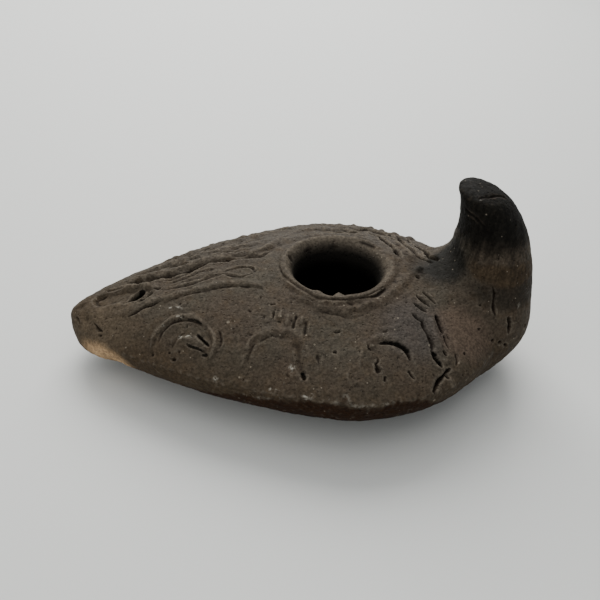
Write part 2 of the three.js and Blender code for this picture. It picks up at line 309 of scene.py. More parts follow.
@dataclass(frozen=True)
class Bowl:
    """The bowl's outer form and its oil chamber, from the same sizes as the solid."""

    nose_length: float = 56.2
    rear_length: float = 36.1
    width: float = 65.0
    shoulder_height: float = 23.6
    fall_at_nozzle: float = 11.35
    fall_at_rear: float = 4.9
    parting_height: float = 13.9
    parting_fall: float = 4.3
    foot_sink: float = 0.6
    keel_rise_at_nozzle: float = 5.3
    keel_rise_at_rear: float = 5.5
    end_rounding: float = 6.9
    side_wall: float = 4.0
    roof_wall: float = 3.6
    floor_wall: float = 4.6
    nozzle_solid: float = 8.5
    collar: float = 3.2
    collar_reach: float = 13.0
    collar_blend: float = 3.0
    nose_plan: tuple = (1.24, 0.632)
    shoulder_curve: float = 1.89
    parting_curve: float = 1.5
    keel_curve: float = 1.8
    roof_section: tuple = (1.9, 0.93)
    belly_section: tuple = (2.4, 0.455)
    sides: int = 240
    chamber_sides: int = 64

    def half_width(self, x: np.ndarray, inset: float = 0.0, nose_inset: float = 0.0) -> np.ndarray:
        """Gives half the width at a length.

        Args:
            x: lengths from the filling hole's axis.
            inset: how far the side wall draws the form in.
            nose_inset: how far the nozzle's end draws it in.

        Returns:
            Half widths, 0 past the two ends.
        """
        nose = np.clip(-x / (self.nose_length - nose_inset), 0.0, 1.0)
        rear = np.clip(x / (self.rear_length - inset), 0.0, 1.0)
        inner, outer = self.nose_plan
        share = np.where(x < 0.0, (1.0 - nose**inner) ** outer, np.sqrt(1.0 - rear**2))
        return (self.width / 2.0 - inset) * share

    def toward_nose(self, x: np.ndarray) -> np.ndarray:
        """Gives the share of the way from the hole's axis to the nozzle's tip."""
        return np.clip(-x / self.nose_length, 0.0, 1.0)

    def toward_rear(self, x: np.ndarray) -> np.ndarray:
        """Gives the share of the way from the hole's axis to the rear."""
        return np.clip(x / self.rear_length, 0.0, 1.0)

    def shoulder(self, x: np.ndarray) -> np.ndarray:
        """Gives the height of the middle line on top."""
        fall = self.fall_at_nozzle * self.toward_nose(x) ** self.shoulder_curve
        return self.shoulder_height - fall - self.fall_at_rear * self.toward_rear(x) ** 2

    def parting(self, x: np.ndarray) -> np.ndarray:
        """Gives the height of the seam between the two halves of the mould."""
        return self.parting_height - self.parting_fall * self.toward_nose(x) ** self.parting_curve

    def keel(self, x: np.ndarray) -> np.ndarray:
        """Gives the height of the middle line underneath, below 0 where the foot is cut flat."""
        rise = self.keel_rise_at_nozzle * self.toward_nose(x) ** self.keel_curve
        return rise + self.keel_rise_at_rear * self.toward_rear(x) ** 2 - self.foot_sink

    def shaped(self, sphere: np.ndarray, hollow: bool) -> np.ndarray:
        """Maps a sphere onto the bowl or its chamber.

        Args:
            sphere: vertices of a sphere of radius 1.
            hollow: True for the oil chamber.

        Returns:
            The vertices' places.
        """
        walls = (self.side_wall, self.roof_wall, self.floor_wall, self.nozzle_solid) if hollow else (0.0,) * 4
        side, roof, floor, nose_end = walls
        nose = self.nose_length - nose_end
        x = -nose + (nose + self.rear_length - side) * (1.0 + sphere[:, 2]) / 2.0
        width = self.half_width(x, side, nose_end)
        angle = np.arctan2(sphere[:, 1], sphere[:, 0])
        across = np.cos(angle)
        middle = self.parting(x)
        sections = (self.roof_section, self.belly_section)
        arch, belly = ((1.0 - np.abs(across) ** inner) ** outer for inner, outer in sections)
        upper = np.maximum(0.0, self.shoulder(x) - middle - roof) * arch
        lower = (middle - self.keel(x) - floor) * belly
        fullness = np.sqrt(1.0 - np.clip(1.0 - width / self.end_rounding, 0.0, 1.0) ** 2)
        if hollow:
            radius = np.hypot(x, across * width)
            near_hole = smooth_rise(radius, self.collar_reach, self.collar_reach - self.collar_blend)
            upper = np.maximum(0.0, upper - self.collar * near_hole)
        height = np.where(np.sin(angle) >= 0.0, upper, -lower) * fullness
        return np.column_stack([x, across * width, middle + height])

    def body(self) -> Mesh:
        """Models the outer form.

        Returns:
            A closed mesh without the filling hole.
        """
        mesh = ball("bowl", self.sides, self.sides)
        place_points(mesh, self.shaped(points_of(mesh), hollow=False))
        return mesh

    def chamber(self) -> Mesh:
        """Models the oil chamber.

        Returns:
            A closed mesh of the hollow.
        """
        mesh = ball("chamber", self.chamber_sides, self.chamber_sides)
        place_points(mesh, self.shaped(points_of(mesh), hollow=True))
        return mesh


@dataclass(frozen=True)
class Horn:
    """The handle, a horn that leans over the bowl."""

    bowl: Bowl
    above_shoulder: float = 19.0
    behind_bowl: float = 8.1
    depth: float = 20.6
    width: float = 18.0
    root_width: float = 44.0
    flare_reach: float = 0.72
    flare_curve: float = 1.7
    tip_reach: float = 0.55
    tip_curve: float = 2.2
    sides: int = 128
    front: tuple = (
        (1.6, 0.59), (1.3, 0.88), (0.985, 1.08), (0.955, 1.32),
        (0.955, 1.56), (1.0, 1.82), (1.04, 1.95), (0.94, 2.0),
    )
    back: tuple = (
        (0.825, 0.06), (0.364, 0.14), (0.058, 0.45), (0.063, 0.8),
        (0.17, 1.22), (0.295, 1.56), (0.57, 1.905), (0.94, 2.0),
    )

    def outline(self, shares: tuple, along: np.ndarray) -> np.ndarray:
        """Follows one outline of the horn in its middle plane.

        Args:
            shares: how far forward of the back each corner lies, as a share of the depth, and how
                high, where 1 is the shoulder and 2 the horn's top.
            along: places from the root (0) to the tip (1).

        Returns:
            Length and height for each place.
        """
        table = np.array(shares)
        reach = self.bowl.rear_length + self.behind_bowl
        height = np.minimum(1.0, table[:, 1]) * self.bowl.shoulder_height
        height += np.maximum(0.0, table[:, 1] - 1.0) * self.above_shoulder
        return rounded_path(np.column_stack([reach - table[:, 0] * self.depth, height]), along)

    def body(self) -> Mesh:
        """Models the horn.

        Returns:
            A closed mesh whose root lies inside the bowl.
        """
        mesh = ball("horn", self.sides, self.sides)
        sphere = points_of(mesh)
        along = np.arccos(np.clip(-sphere[:, 2], -1.0, 1.0)) / math.pi
        angle = np.arctan2(sphere[:, 1], sphere[:, 0])
        front = self.outline(self.front, along)
        back = self.outline(self.back, along)
        opened = np.where(along > 1e-4, 1.0, 0.0)
        middle = (front + back) / 2.0 + (back - front) / 2.0 * (np.cos(angle) * opened)[:, None]
        flare = (1.0 - np.minimum(1.0, along / self.flare_reach)) ** self.flare_curve
        spread = (self.width + (self.root_width - self.width) * flare) / 2.0
        past_tip = np.clip(1.0 - (1.0 - along) / self.tip_reach, 0.0, 1.0)
        closing = np.sqrt(1.0 - past_tip**self.tip_curve)
        across = np.sin(angle) * spread * closing * opened
        place_points(mesh, np.column_stack([middle[:, 0], across, middle[:, 1]]))
        return mesh


@dataclass(frozen=True)
class FillingHole:
    """The filling hole: a level rim pressed a little out of round, a funnel and a straight bore."""

    bowl: Bowl
    crest_radius: float = 11.9
    crest_below_shoulder: float = 0.1
    ring_radius: float = 1.5
    bore_radius: float = 9.2
    funnel_depth: float = 4.2
    sides: int = 128
    ring_corners: int = 20
    roll: tuple = ((0.3, 0.05), (-0.4, -0.2), (-1.1, -0.75), (-1.8, -1.7), (-2.35, -3.0))
    mouth_angles: tuple = (-180, -125, -105, -85, -40, 10, 35, 90, 130, 180)
    mouth_shares: tuple = (0.98, 0.98, 0.99, 0.91, 0.89, 0.99, 1.02, 0.95, 0.96, 0.98)

    @property
    def crest(self) -> float:
        """The height of the rim's crest."""
        return self.bowl.shoulder_height - self.crest_below_shoulder

    def ring(self) -> Mesh:
        """Spins the rim's round ring.

        Returns:
            A closed mesh.
        """
        angles = np.linspace(0.0, 2.0 * math.pi, self.ring_corners + 1)[:-1]
        middle = self.crest - self.ring_radius
        radii = self.crest_radius + self.ring_radius * np.cos(angles)
        heights = middle + self.ring_radius * np.sin(angles)
        return self.pressed(turned("rim", list(zip(radii, heights)), closed=True, steps=self.sides))

    def pressed(self, mesh: Mesh) -> Mesh:
        """Presses a turned form as far out of round as the real mouth.

        Args:
            mesh: the turned form.

        Returns:
            The same mesh.
        """
        points = points_of(mesh)
        angles = np.degrees(np.arctan2(points[:, 1], points[:, 0]))
        points[:, :2] *= np.interp(angles, self.mouth_angles, self.mouth_shares)[:, None]
        place_points(mesh, points)
        return mesh

    def bore(self) -> Mesh:
        """Spins the funnel and the bore as one cutter.

        Returns:
            A closed mesh from above the crest down to the chamber's middle.
        """
        outline = [
            (0.0, self.crest + self.ring_radius),
            (self.crest_radius + 1.0, self.crest + self.ring_radius),
            *((self.crest_radius + outward, self.crest + up) for outward, up in self.roll),
            (self.bore_radius, self.crest - self.funnel_depth),
            (self.bore_radius, self.bowl.parting_height),
            (0.0, self.bowl.parting_height),
        ]
        return self.pressed(turned("bore", outline, closed=False, steps=self.sides))


@dataclass(frozen=True)
class WickHole:
    """The ragged wick hole in the nozzle's recess."""

    outline: tuple = (
        (-45.2, -3.4), (-44.5, -2.6), (-43.4, -1.9), (-42.6, -0.7), (-41.6, 0.1), (-40.6, 0.0),
        (-40.2, -0.9), (-40.8, -1.8), (-42.0, -2.5), (-43.0, -3.3), (-44.3, -3.9),
    )
    top: float = 24.0
    bottom: float = 8.5
    sides: int = 48

    def cutter(self) -> Mesh:
        """Extrudes the hole's outline from inside the chamber up past the nozzle.

        Returns:
            A closed mesh.
        """
        form = bmesh.new()
        ring = np.array(self.outline + self.outline[:1])
        smooth = rounded_path(ring, np.linspace(0.0, 1.0, self.sides + 1))[:-1]
        face = form.faces.new([form.verts.new((x, y, self.bottom)) for x, y in smooth])
        grown = bmesh.ops.extrude_face_region(form, geom=[face])["geom"]
        raised = [item for item in grown if isinstance(item, bmesh.types.BMVert)]
        bmesh.ops.translate(form, verts=raised, vec=(0.0, 0.0, self.top - self.bottom))
        bmesh.ops.recalc_face_normals(form, faces=form.faces)
        return mesh_of("wick hole", form)


class Skin:
    """A surface on which relief is drawn."""

    AWAY = 90.0
    DEPTH = 80.0

    def __init__(self, mesh: Mesh) -> None:
        """Makes a search tree of a mesh's faces.

        Args:
            mesh: the mesh.
        """
        form = bmesh.new()
        form.from_mesh(mesh)
        self.tree = BVHTree.FromBMesh(form)
        form.free()

    def place(self, side: Side, first: float, second: float) -> Vector:
        """Finds the surface behind a point of a drawing.

        Args:
            side: the side that the drawing is seen from.
            first: the point's x.
            second: its y from above, or its z from the near side.

        Returns:
            The surface's point in millimetres.
        """
        starts = {
            Side.TOP: ((first, second, self.AWAY), (0.0, 0.0, -1.0)),
            Side.NEAR: ((first, -self.AWAY, second), (0.0, 1.0, 0.0)),
        }
        start, direction = (Vector(item) for item in starts[side])
        found = self.tree.ray_cast(start, direction)[0]
        return found or self.tree.find_nearest(start + direction * self.DEPTH)[0]

    def distance(self, points: np.ndarray) -> np.ndarray:
        """Gives each point's distance from the surface."""
        return np.array([self.tree.find_nearest(Vector(place))[3] for place in points.tolist()])


@dataclass(frozen=True)
class Stroke:
    """One line of the relief, with its half width and its height in millimetres."""

    STEP = 0.5
    WANDER = 0.45
    points: tuple
    width: float
    height: float
    cut: Cut = Cut.GROOVE
    side: Side = Side.TOP
    taper: float = 0.2
    lip: float = 0.0
    uneven: float = 0.35

    def path(self, skin: Skin) -> np.ndarray:
        """Lays the line on the surface.

        Args:
            skin: the bare surface.

        Returns:
            The line's points, about a step apart and a little uneven.
        """
        corners = np.array(self.points, dtype=float)
        length = np.linalg.norm(np.diff(corners, axis=0), axis=1).sum()
        flat = rounded_path(corners, np.linspace(0.0, 1.0, max(6, round(length / self.STEP))))
        laid = np.array([skin.place(self.side, *place) for place in flat.tolist()])
        wander = np.column_stack([ripple(laid, 2.3, 5.0), ripple(laid, 2.3, 17.0), np.zeros(len(laid))])
        return laid + wander * self.uneven * self.WANDER

    def profile(self, share: np.ndarray) -> np.ndarray:
        """Gives the line's section.

        Args:
            share: distance from the line's middle as a share of the half width.

        Returns:
            Heights as a share of the line's height.
        """
        inside = np.clip(1.0 - share, 0.0, 1.0)
        bell = np.clip(1.0 - share**2, 0.0, 1.0) ** 2
        if self.cut is Cut.RIDGE:
            return bell
        if self.cut is Cut.CRACK:
            return -np.minimum(1.0, inside * 1.4)
        if self.cut is Cut.TROUGH:
            return -smooth_rise(share, 1.0, 0.42)
        return -bell + self.lip * np.clip(1.0 - ((share - 1.25) / 0.55) ** 2, 0.0, 1.0)

    def lift(self, points: np.ndarray, skin: Skin) -> np.ndarray:
        """Gives how far the line raises or sinks the surface.

        Args:
            points: places on the surface.
            skin: the bare surface.

        Returns:
            Millimetres along the surface's normal.
        """
        path = self.path(skin)
        reach = self.width * (1.0 + self.uneven) * (1.9 if self.lip else 1.05)
        inside = (points > path.min(axis=0) - reach) & (points < path.max(axis=0) + reach)
        chosen = np.flatnonzero(inside.all(axis=1))
        result = np.zeros(len(points))
        near = points[chosen]
        best = np.full(len(near), 1e9)
        place = np.zeros(len(near))
        for index, (start, end) in enumerate(zip(path, path[1:])):
            step = end - start
            share = np.clip((near - start) @ step / (step @ step + TINY), 0.0, 1.0)
            gap = np.linalg.norm(near - start - share[:, None] * step, axis=1)
            closer = gap < best
            best[closer] = gap[closer]
            place[closer] = index + share[closer]
        along = place / (len(path) - 1)
        swell = 1.0 + self.uneven * np.interp(place, np.arange(len(path)), ripple(path, 1.9, 31.0)) * 1.4
        ends = np.minimum(along, 1.0 - along) / max(self.taper, TINY)
        fade = np.clip(ends, 0.0, 1.0) ** 0.6 if self.taper else np.ones(len(along))
        width = self.width * swell * (0.4 + 0.6 * fade)
        result[chosen] = self.profile(best / width) * self.height * fade * (0.7 + 0.3 * swell)
        return result


def ridge(width: float, height: float, *points: tuple, **more: object) -> Stroke:
    """Draws a raised line."""
    return Stroke(points, width, height, Cut.RIDGE, **more)


def groove(width: float, height: float, *points: tuple, **more: object) -> Stroke:
    """Draws a round-bottomed line."""
    return Stroke(points, width, height, Cut.GROOVE, **more)


def crack(width: float, height: float, *points: tuple, **more: object) -> Stroke:
    """Draws a sharp cut."""
    return Stroke(points, width, height, Cut.CRACK, **more)


def trough(width: float, height: float, *points: tuple, **more: object) -> Stroke:
    """Draws a broad hollow with a flat bed."""
    return Stroke(points, width, height, Cut.TROUGH, **more)


@dataclass(frozen=True)
class Dab:
    """A round or oval lump, or a hollow where its height is negative."""

    centre: tuple
    radii: tuple
    height: float
    side: Side = Side.TOP
    turn: float = 0.0

    def lift(self, points: np.ndarray, skin: Skin) -> np.ndarray:
        """Gives how far the lump raises or sinks the surface.

        Args:
            points: places on the surface.
            skin: the bare surface.

        Returns:
            Millimetres along the surface's normal.
        """
        offset = points - np.array(skin.place(self.side, *self.centre))
        turn = math.radians(self.turn)
        upright = self.side is not Side.TOP
        sine = math.sin(turn)
        axis = np.array([math.cos(turn), 0.0 if upright else sine, sine if upright else 0.0])
        lengthwise = offset @ axis
        crosswise = np.maximum(0.0, (offset**2).sum(axis=1) - lengthwise**2)
        share = (lengthwise / self.radii[0]) ** 2 + crosswise / self.radii[1] ** 2
        return np.clip(1.0 - share, 0.0, 1.0) ** 1.5 * self.height


@dataclass(frozen=True)
class Relief:
    """Everything that the mould, the maker's hand and time drew on the lamp.

    A line has its half width and height first and then its points, in millimetres.
    """

    channel: tuple = (
        trough(5.0, 0.45, (-15.5, 0.8), (-27.0, 0.6), (-38.0, -1.4), taper=0.3),
        ridge(1.5, 0.5, (-16.2, -6.4), (-18.4, -4.9), (-22.0, -4.0), (-28.7, -4.0), (-34.2, -4.9),
              (-40.0, -5.6), taper=0.15),
        groove(0.5, 0.24, (-15.4, -7.4), (-17.2, -6.2), (-19.9, -5.4), (-25.2, -5.0), (-31.4, -5.5),
               (-36.5, -6.1), uneven=0.5),
        ridge(1.6, 0.7, (-9.5, 16.6), (-12.6, 12.0), (-15.6, 8.0), (-21.0, 6.8), (-27.0, 6.3), (-33.0, 4.3),
              (-39.0, 4.2), (-45.5, 4.2), taper=0.12, uneven=0.6),
        groove(0.6, 0.6, (-13.0, 7.8), (-15.6, 5.7), (-19.5, 5.0), (-25.0, 5.0), (-29.7, 4.1), uneven=0.8),
        crack(0.7, 1.2, (-28.5, 4.5), (-31.6, 3.1), (-34.5, 2.4), (-37.1, 2.4), (-40.7, 2.6), (-44.4, 3.1),
              taper=0.1, uneven=1.2),
        groove(0.45, 0.34, (-24.4, 0.6), (-22.4, 1.5), (-20.2, 1.6), (-18.2, 0.9), (-17.7, -0.4), lip=0.3),
        groove(0.45, 0.3, (-24.4, 0.2), (-22.4, -1.2), (-20.3, -1.9), (-18.9, -1.6), (-17.8, -0.6),
               lip=0.3),
        groove(0.5, 0.26, (-24.0, 0.3), (-27.8, -1.0), (-32.0, -1.9), (-36.5, -2.6), lip=0.4, uneven=0.6),
        groove(0.5, 0.26, (-25.0, 2.4), (-29.0, 2.0), (-31.5, 0.6), (-36.0, -0.8), lip=0.4, uneven=0.6),
        ridge(0.7, 0.2, (-24.5, 1.5), (-28.0, 0.6), (-33.0, -0.4)),
        groove(0.5, 0.26, (-30.5, 2.6), (-34.0, 1.2), (-37.8, 0.6), lip=0.4, uneven=0.6),
    )
    nozzle: tuple = (
        trough(2.8, 1.05, (-48.6, -0.5), (-45.0, -0.8), (-40.8, -1.4), taper=0.0, uneven=0.15),
        groove(0.8, 0.6, (-48.4, 1.4), (-50.0, 0.9), (-50.8, -0.2), (-50.6, -1.3), (-49.6, -2.1),
               uneven=0.15),
        groove(0.4, 0.35, (-49.3, 2.7), (-47.1, 2.1), (-44.8, 1.9), uneven=0.5),
        ridge(1.5, 0.4, (-46.5, -6.0), (-43.5, -5.9), (-41.2, -5.5), (-38.6, -4.7), (-36.0, -4.2)),
        crack(0.35, 0.5, (-43.6, -7.2), (-41.7, -6.9), (-40.2, -6.2), (-38.4, -6.1), (-36.8, -5.6)),
        crack(0.45, 1.0, (-42.2, -3.5), (-40.6, -3.8), (-39.5, -3.2), (-38.6, -2.6)),
        ridge(0.5, 0.45, (-41.4, -2.6), (-40.0, -2.5), (-38.9, -1.8), (-37.4, -1.2)),
        crack(0.4, 0.7, (-39.4, -1.7), (-38.3, -1.4), (-37.0, -1.5)),
        crack(0.35, 0.45, (-50.9, -5.6), (-50.2, -6.5), (-49.5, -7.5), (-48.5, -8.5), uneven=0.8),
        crack(0.35, 0.4, (-54.8, -2.4), (-54.1, -3.5), (-53.6, -4.6), uneven=0.8),
        Dab((-52.2, -4.4), (2.3, 1.3), -0.5, turn=-50.0),
        Dab((-53.6, -1.0), (1.6, 1.1), -0.4),
        Dab((-48.9, -8.9), (0.8, 0.5), -0.35),
    )
    arches: tuple = (
        ridge(0.8, 0.42, (-38.6, -15.2), (-37.9, -13.0), (-35.6, -11.0), (-32.6, -10.4), (-29.6, -11.4),
              (-27.4, -13.8)),
        ridge(0.75, 0.5, (-27.4, -13.8), (-26.1, -16.4), (-26.2, -18.6), (-27.0, -20.2)),
        groove(0.42, 0.28, (-37.2, -15.0), (-36.4, -12.9), (-34.6, -11.6), (-32.2, -11.4), (-29.6, -12.3),
               (-28.2, -13.8), lip=0.15),
        groove(0.5, 0.36, (-25.2, -15.0), (-24.8, -17.0), (-25.2, -18.8)),
        Dab((-30.2, -16.4), (3.8, 1.7), 0.5, turn=-30.0),
        Dab((-31.4, -15.2), (1.3, 0.8), 0.25, turn=-20.0),
        crack(0.32, 0.95, (-29.4, -15.0), (-28.4, -16.3), (-27.0, -17.9), uneven=0.2),
        groove(0.45, 0.2, (-34.4, -16.4), (-33.6, -14.8), (-31.7, -14.0), uneven=0.8),
        crack(0.22, 0.45, (-31.4, -16.4), (-30.4, -17.3), (-29.0, -17.9), (-27.8, -18.6), uneven=0.6),
        crack(0.3, 0.35, (-28.6, -18.9), (-27.2, -19.3), uneven=0.7),
        Dab((-33.9, -18.3), (0.7, 0.55), -0.6),
        Dab((-34.8, -16.9), (0.4, 0.35), -0.4),
        Dab((-38.1, -16.2), (0.45, 0.5), -0.35),
        ridge(1.2, 0.34, (-21.2, -23.6), (-20.3, -20.4), (-18.8, -18.0), (-15.2, -17.1), (-11.2, -17.7),
              (-9.2, -19.6), (-8.4, -22.4), (-8.1, -25.8), uneven=0.5),
        groove(0.6, 0.24, (-20.2, -22.6), (-19.2, -20.2), (-17.2, -18.5), (-14.0, -18.3), (-11.0, -19.3),
               uneven=0.9),
        groove(1.0, 0.42, (-11.2, -19.6), (-10.2, -22.0), (-9.9, -25.0), (-9.3, -27.4), uneven=0.5),
        crack(0.4, 0.7, (-9.9, -25.6), (-9.3, -27.1)),
        crack(0.4, 0.25, (-6.6, -22.6), (-6.4, -24.6), (-6.3, -26.2), uneven=0.9),
        ridge(1.1, 0.26, (1.1, -27.4), (1.4, -24.1), (2.6, -21.6), (5.2, -19.8), (8.8, -19.9),
              (11.4, -21.8), (12.3, -25.5), uneven=0.5),
        crack(0.52, 1.05, (5.2, -21.1), (8.0, -20.8), (9.9, -21.5), (10.9, -22.6), (11.3, -24.3), taper=0.3,
              uneven=0.1),
        Dab((8.6, -22.6), (2.4, 1.2), 0.2, turn=-25.0),
        crack(0.4, 0.6, (4.5, -23.7), (4.8, -24.5), (4.4, -25.2), (4.7, -26.0), (4.2, -26.8), uneven=1.2),
        crack(0.35, 0.4, (5.8, -27.3), (5.6, -28.4)),
        crack(0.35, 0.4, (10.5, -25.9), (11.0, -26.7), (11.7, -27.5)),
        Dab((4.0, -21.6), (0.7, 0.6), 0.35),
        groove(0.35, 0.3, (3.2, -21.2), (3.2, -22.1), (3.9, -22.6)),
        crack(0.4, 0.6, (-14.2, -11.8), (-14.6, -12.8), (-14.9, -14.3), uneven=0.7),
        ridge(0.7, 0.34, (-12.9, -12.4), (-13.2, -13.6), (-13.4, -14.6)),
        groove(0.5, 0.5, (-10.0, -14.0), (-10.6, -15.6), (-11.1, -17.2), uneven=0.6),
        ridge(0.8, 0.34, (-11.6, -13.6), (-12.0, -15.2), (-12.2, -16.4)),
        ridge(0.6, 0.34, (-9.0, -14.4), (-9.5, -16.6)),
        groove(0.7, 0.42, (-8.2, -15.6), (-8.5, -17.2), (-8.8, -18.8), uneven=0.6),
        groove(0.35, 0.3, (-15.1, -10.8), (-14.0, -11.1), uneven=0.7),
        groove(0.4, 0.3, (-13.9, -15.0), (-13.1, -15.3)),
        crack(0.35, 0.4, (-3.7, -22.5), (-2.9, -22.8)),
        crack(0.35, 0.35, (-3.2, -18.5), (-2.4, -18.6), (-1.8, -18.4)),
        ridge(0.7, 0.18, (-0.8, -26.0), (-1.4, -27.4), (-0.9, -28.9), (0.6, -28.6), (1.8, -29.1)),
    )
    palm: tuple = (
        crack(0.5, 1.1, (16.7, -7.4), (17.7, -8.8), (19.0, -10.7), taper=0.35, uneven=0.2),
        crack(0.5, 1.1, (15.1, -8.6), (16.1, -10.0), (17.6, -11.4), taper=0.35, uneven=0.2),
        crack(0.5, 1.0, (14.1, -10.8), (15.0, -11.9), (16.7, -12.9), taper=0.35, uneven=0.2),
        crack(0.5, 0.9, (13.3, -13.6), (14.2, -14.7), (15.2, -15.5), taper=0.35, uneven=0.2),
        ridge(0.5, 0.2, (17.5, -7.4), (18.6, -9.0)),
        ridge(0.5, 0.22, (16.0, -8.6), (17.4, -10.2)),
        ridge(0.5, 0.22, (14.9, -10.6), (16.4, -11.9)),
        groove(0.6, 1.0, (15.3, -14.8), (15.2, -16.4), (15.9, -18.4), (16.4, -20.4), (16.1, -21.8),
               uneven=0.4),
        crack(0.55, 1.4, (16.0, -21.3), (16.8, -23.1), (17.7, -24.5), uneven=0.4),
        crack(0.65, 1.2, (18.4, -13.2), (18.8, -15.2), (19.1, -17.6), uneven=0.25),
        crack(0.4, 0.7, (19.1, -17.6), (19.4, -19.2), (19.9, -20.5), uneven=0.4),
        ridge(1.3, 0.42, (17.2, -14.0), (17.4, -17.6), (17.9, -21.4)),
        groove(0.4, 0.35, (21.0, -20.9), (21.3, -22.3), (20.7, -23.7)),
        crack(0.35, 0.35, (19.8, -17.5), (20.3, -18.6)),
        crack(0.4, 0.4, (18.4, -21.1), (19.2, -22.0)),
        crack(0.45, 1.3, (19.4, -24.4), (18.1, -25.6), (16.9, -26.8), (14.9, -29.6), uneven=0.8),
        crack(0.45, 0.6, (18.0, -25.5), (18.8, -26.4)),
        Dab((19.2, -26.8), (1.8, 1.2), 0.5, turn=-50.0),
        Dab((18.6, -23.2), (1.0, 0.8), 0.35),
        Dab((23.2, -20.7), (0.4, 0.4), -0.5),
    )
    rings: tuple = (
        ridge(1.7, 0.6, (-11.6, -8.4), (-8.2, -10.8), (-4.4, -12.9), (0.4, -13.3), (5.3, -11.6),
              (9.2, -9.0), (12.4, -5.6), (14.4, -3.0), (17.6, 0.4), taper=0.3, uneven=0.5),
        groove(0.55, 0.45, (-12.7, 0.8), (-12.4, -2.2), (-10.8, -5.7), (-9.0, -8.1), (-5.8, -11.3),
               (-1.0, -12.0), (3.8, -10.8), (9.8, -6.5), uneven=0.5),
        crack(0.45, 0.5, (2.8, -11.4), (6.4, -10.0), (9.0, -7.6), uneven=0.6),
        groove(0.5, 0.2, (-6.2, -13.6), (-0.6, -15.0), (1.4, -15.1), (5.8, -13.0), uneven=0.9),
        ridge(1.9, 0.6, (-13.4, 10.2), (-9.0, 12.6), (-2.0, 14.0), (5.0, 13.6), (10.4, 11.4)),
        groove(0.6, 0.45, (-6.5, 15.2), (-2.0, 15.9), (1.5, 15.2), (5.4, 16.0), (9.6, 15.6), uneven=0.8),
        Dab((12.6, 4.2), (3.8, 1.9), 0.55, turn=112.0),
        crack(0.75, 1.4, (9.6, 18.6), (11.9, 16.2), (12.8, 13.6), (13.7, 10.0), (14.3, 8.0), (13.8, 4.9),
              uneven=0.5),
        Dab((14.2, 6.6), (1.9, 1.0), -1.4, turn=100.0),
        Dab((16.6, 3.6), (2.6, 1.6), -0.5, turn=110.0),
        Dab((17.4, 0.2), (1.9, 1.0), 0.5, turn=45.0),
        Dab((16.7, -2.9), (0.7, 0.8), -0.6),
    )
    mouth: tuple = (
        Dab((-5.7, -9.3), (1.0, 0.8), 0.8),
        Dab((-4.6, -9.9), (0.6, 0.5), 0.5),
        Dab((-1.4, -10.3), (1.1, 0.8), 0.8),
        crack(0.5, 0.9, (-10.4, 4.4), (-9.4, 3.0)),
        crack(0.45, 0.6, (5.6, 10.2), (7.6, 8.6), (9.2, 6.4), uneven=0.6),
        groove(0.5, 0.35, (-8.0, 6.4), (-3.0, 9.4), (2.5, 9.6), uneven=0.9),
        crack(0.45, 0.4, (9.6, -2.6), (10.2, -0.4), (9.9, 1.6), uneven=0.9),
    )
    far_side: tuple = (
        ridge(1.3, 0.6, (-44.0, 6.4), (-35.0, 8.2), (-26.0, 10.6), (-19.0, 11.8), (-13.0, 15.2),
              uneven=0.8),
        groove(0.75, 0.55, (-42.0, 5.6), (-33.0, 6.6), (-24.0, 8.8), (-17.5, 9.8), uneven=0.8),
        groove(0.8, 0.5, (-38.0, 9.0), (-29.0, 12.0), (-21.0, 14.0), (-14.5, 17.4), uneven=0.8),
        ridge(1.2, 0.5, (-37.0, 10.6), (-28.0, 14.4), (-20.0, 17.4), (-12.0, 20.6), uneven=0.8),
        groove(0.8, 0.4, (-26.0, 16.8), (-18.0, 20.4), (-9.0, 22.4), uneven=0.8),
        ridge(1.2, 0.6, (-8.0, 18.4), (-2.0, 19.4), (3.0, 18.9), (8.0, 18.6), uneven=0.8),
        crack(0.7, 1.0, (1.5, 20.8), (7.0, 20.4), (11.0, 20.4), (13.8, 17.5), (15.6, 14.6), uneven=0.9),
        ridge(1.3, 0.5, (2.0, 22.8), (8.0, 22.2), (13.0, 20.4), (17.0, 18.0), (21.0, 15.0), uneven=1.0),
        crack(0.6, 1.5, (16.6, 18.4), (17.4, 12.8), (18.4, 9.8), (19.2, 5.7), (20.9, 2.0), uneven=0.9),
        ridge(1.0, 0.6, (15.0, 14.4), (15.9, 11.0), (16.6, 7.6), (17.6, 4.6), uneven=0.9),
        crack(0.6, 1.5, (18.8, 16.4), (20.5, 12.0), (21.2, 8.0), (21.2, 5.0), (22.0, 1.8), uneven=0.9),
        ridge(1.0, 0.4, (20.6, 15.2), (22.4, 11.8), (23.2, 8.8), uneven=0.7),
        crack(0.45, 0.8, (-1.0, 17.0), (5.4, 17.5), (9.6, 18.6), uneven=0.9),
        groove(0.7, 0.5, (-20.0, 19.0), (-14.0, 21.6), (-6.0, 23.4), uneven=0.9),
        ridge(0.9, 0.38, (-37.5, 17.0), (-36.0, 14.8), (-32.4, 13.6), (-28.8, 15.0), (-26.4, 18.4),
              (-26.6, 21.0), uneven=0.6),
        ridge(1.1, 0.34, (-20.6, 24.4), (-19.4, 22.0), (-15.0, 20.8), (-10.6, 22.2), (-8.6, 25.0),
              (-8.3, 28.0), uneven=0.6),
        ridge(1.1, 0.34, (1.6, 28.6), (2.2, 25.6), (5.4, 24.0), (9.4, 24.6), (11.6, 27.4), uneven=0.6),
        Dab((5.0, 29.2), (1.0, 0.7), 0.25),
        Dab((8.4, 28.6), (0.9, 0.7), 0.3),
        Dab((12.4, 26.4), (1.0, 0.8), 0.5),
        Dab((15.0, 25.8), (1.0, 0.8), 0.5),
        Dab((18.2, 24.2), (1.4, 0.9), 0.55),
        Dab((21.2, 21.6), (1.6, 1.1), 0.6),
        Dab((22.3, 14.6), (1.3, 0.9), 0.5),
    )
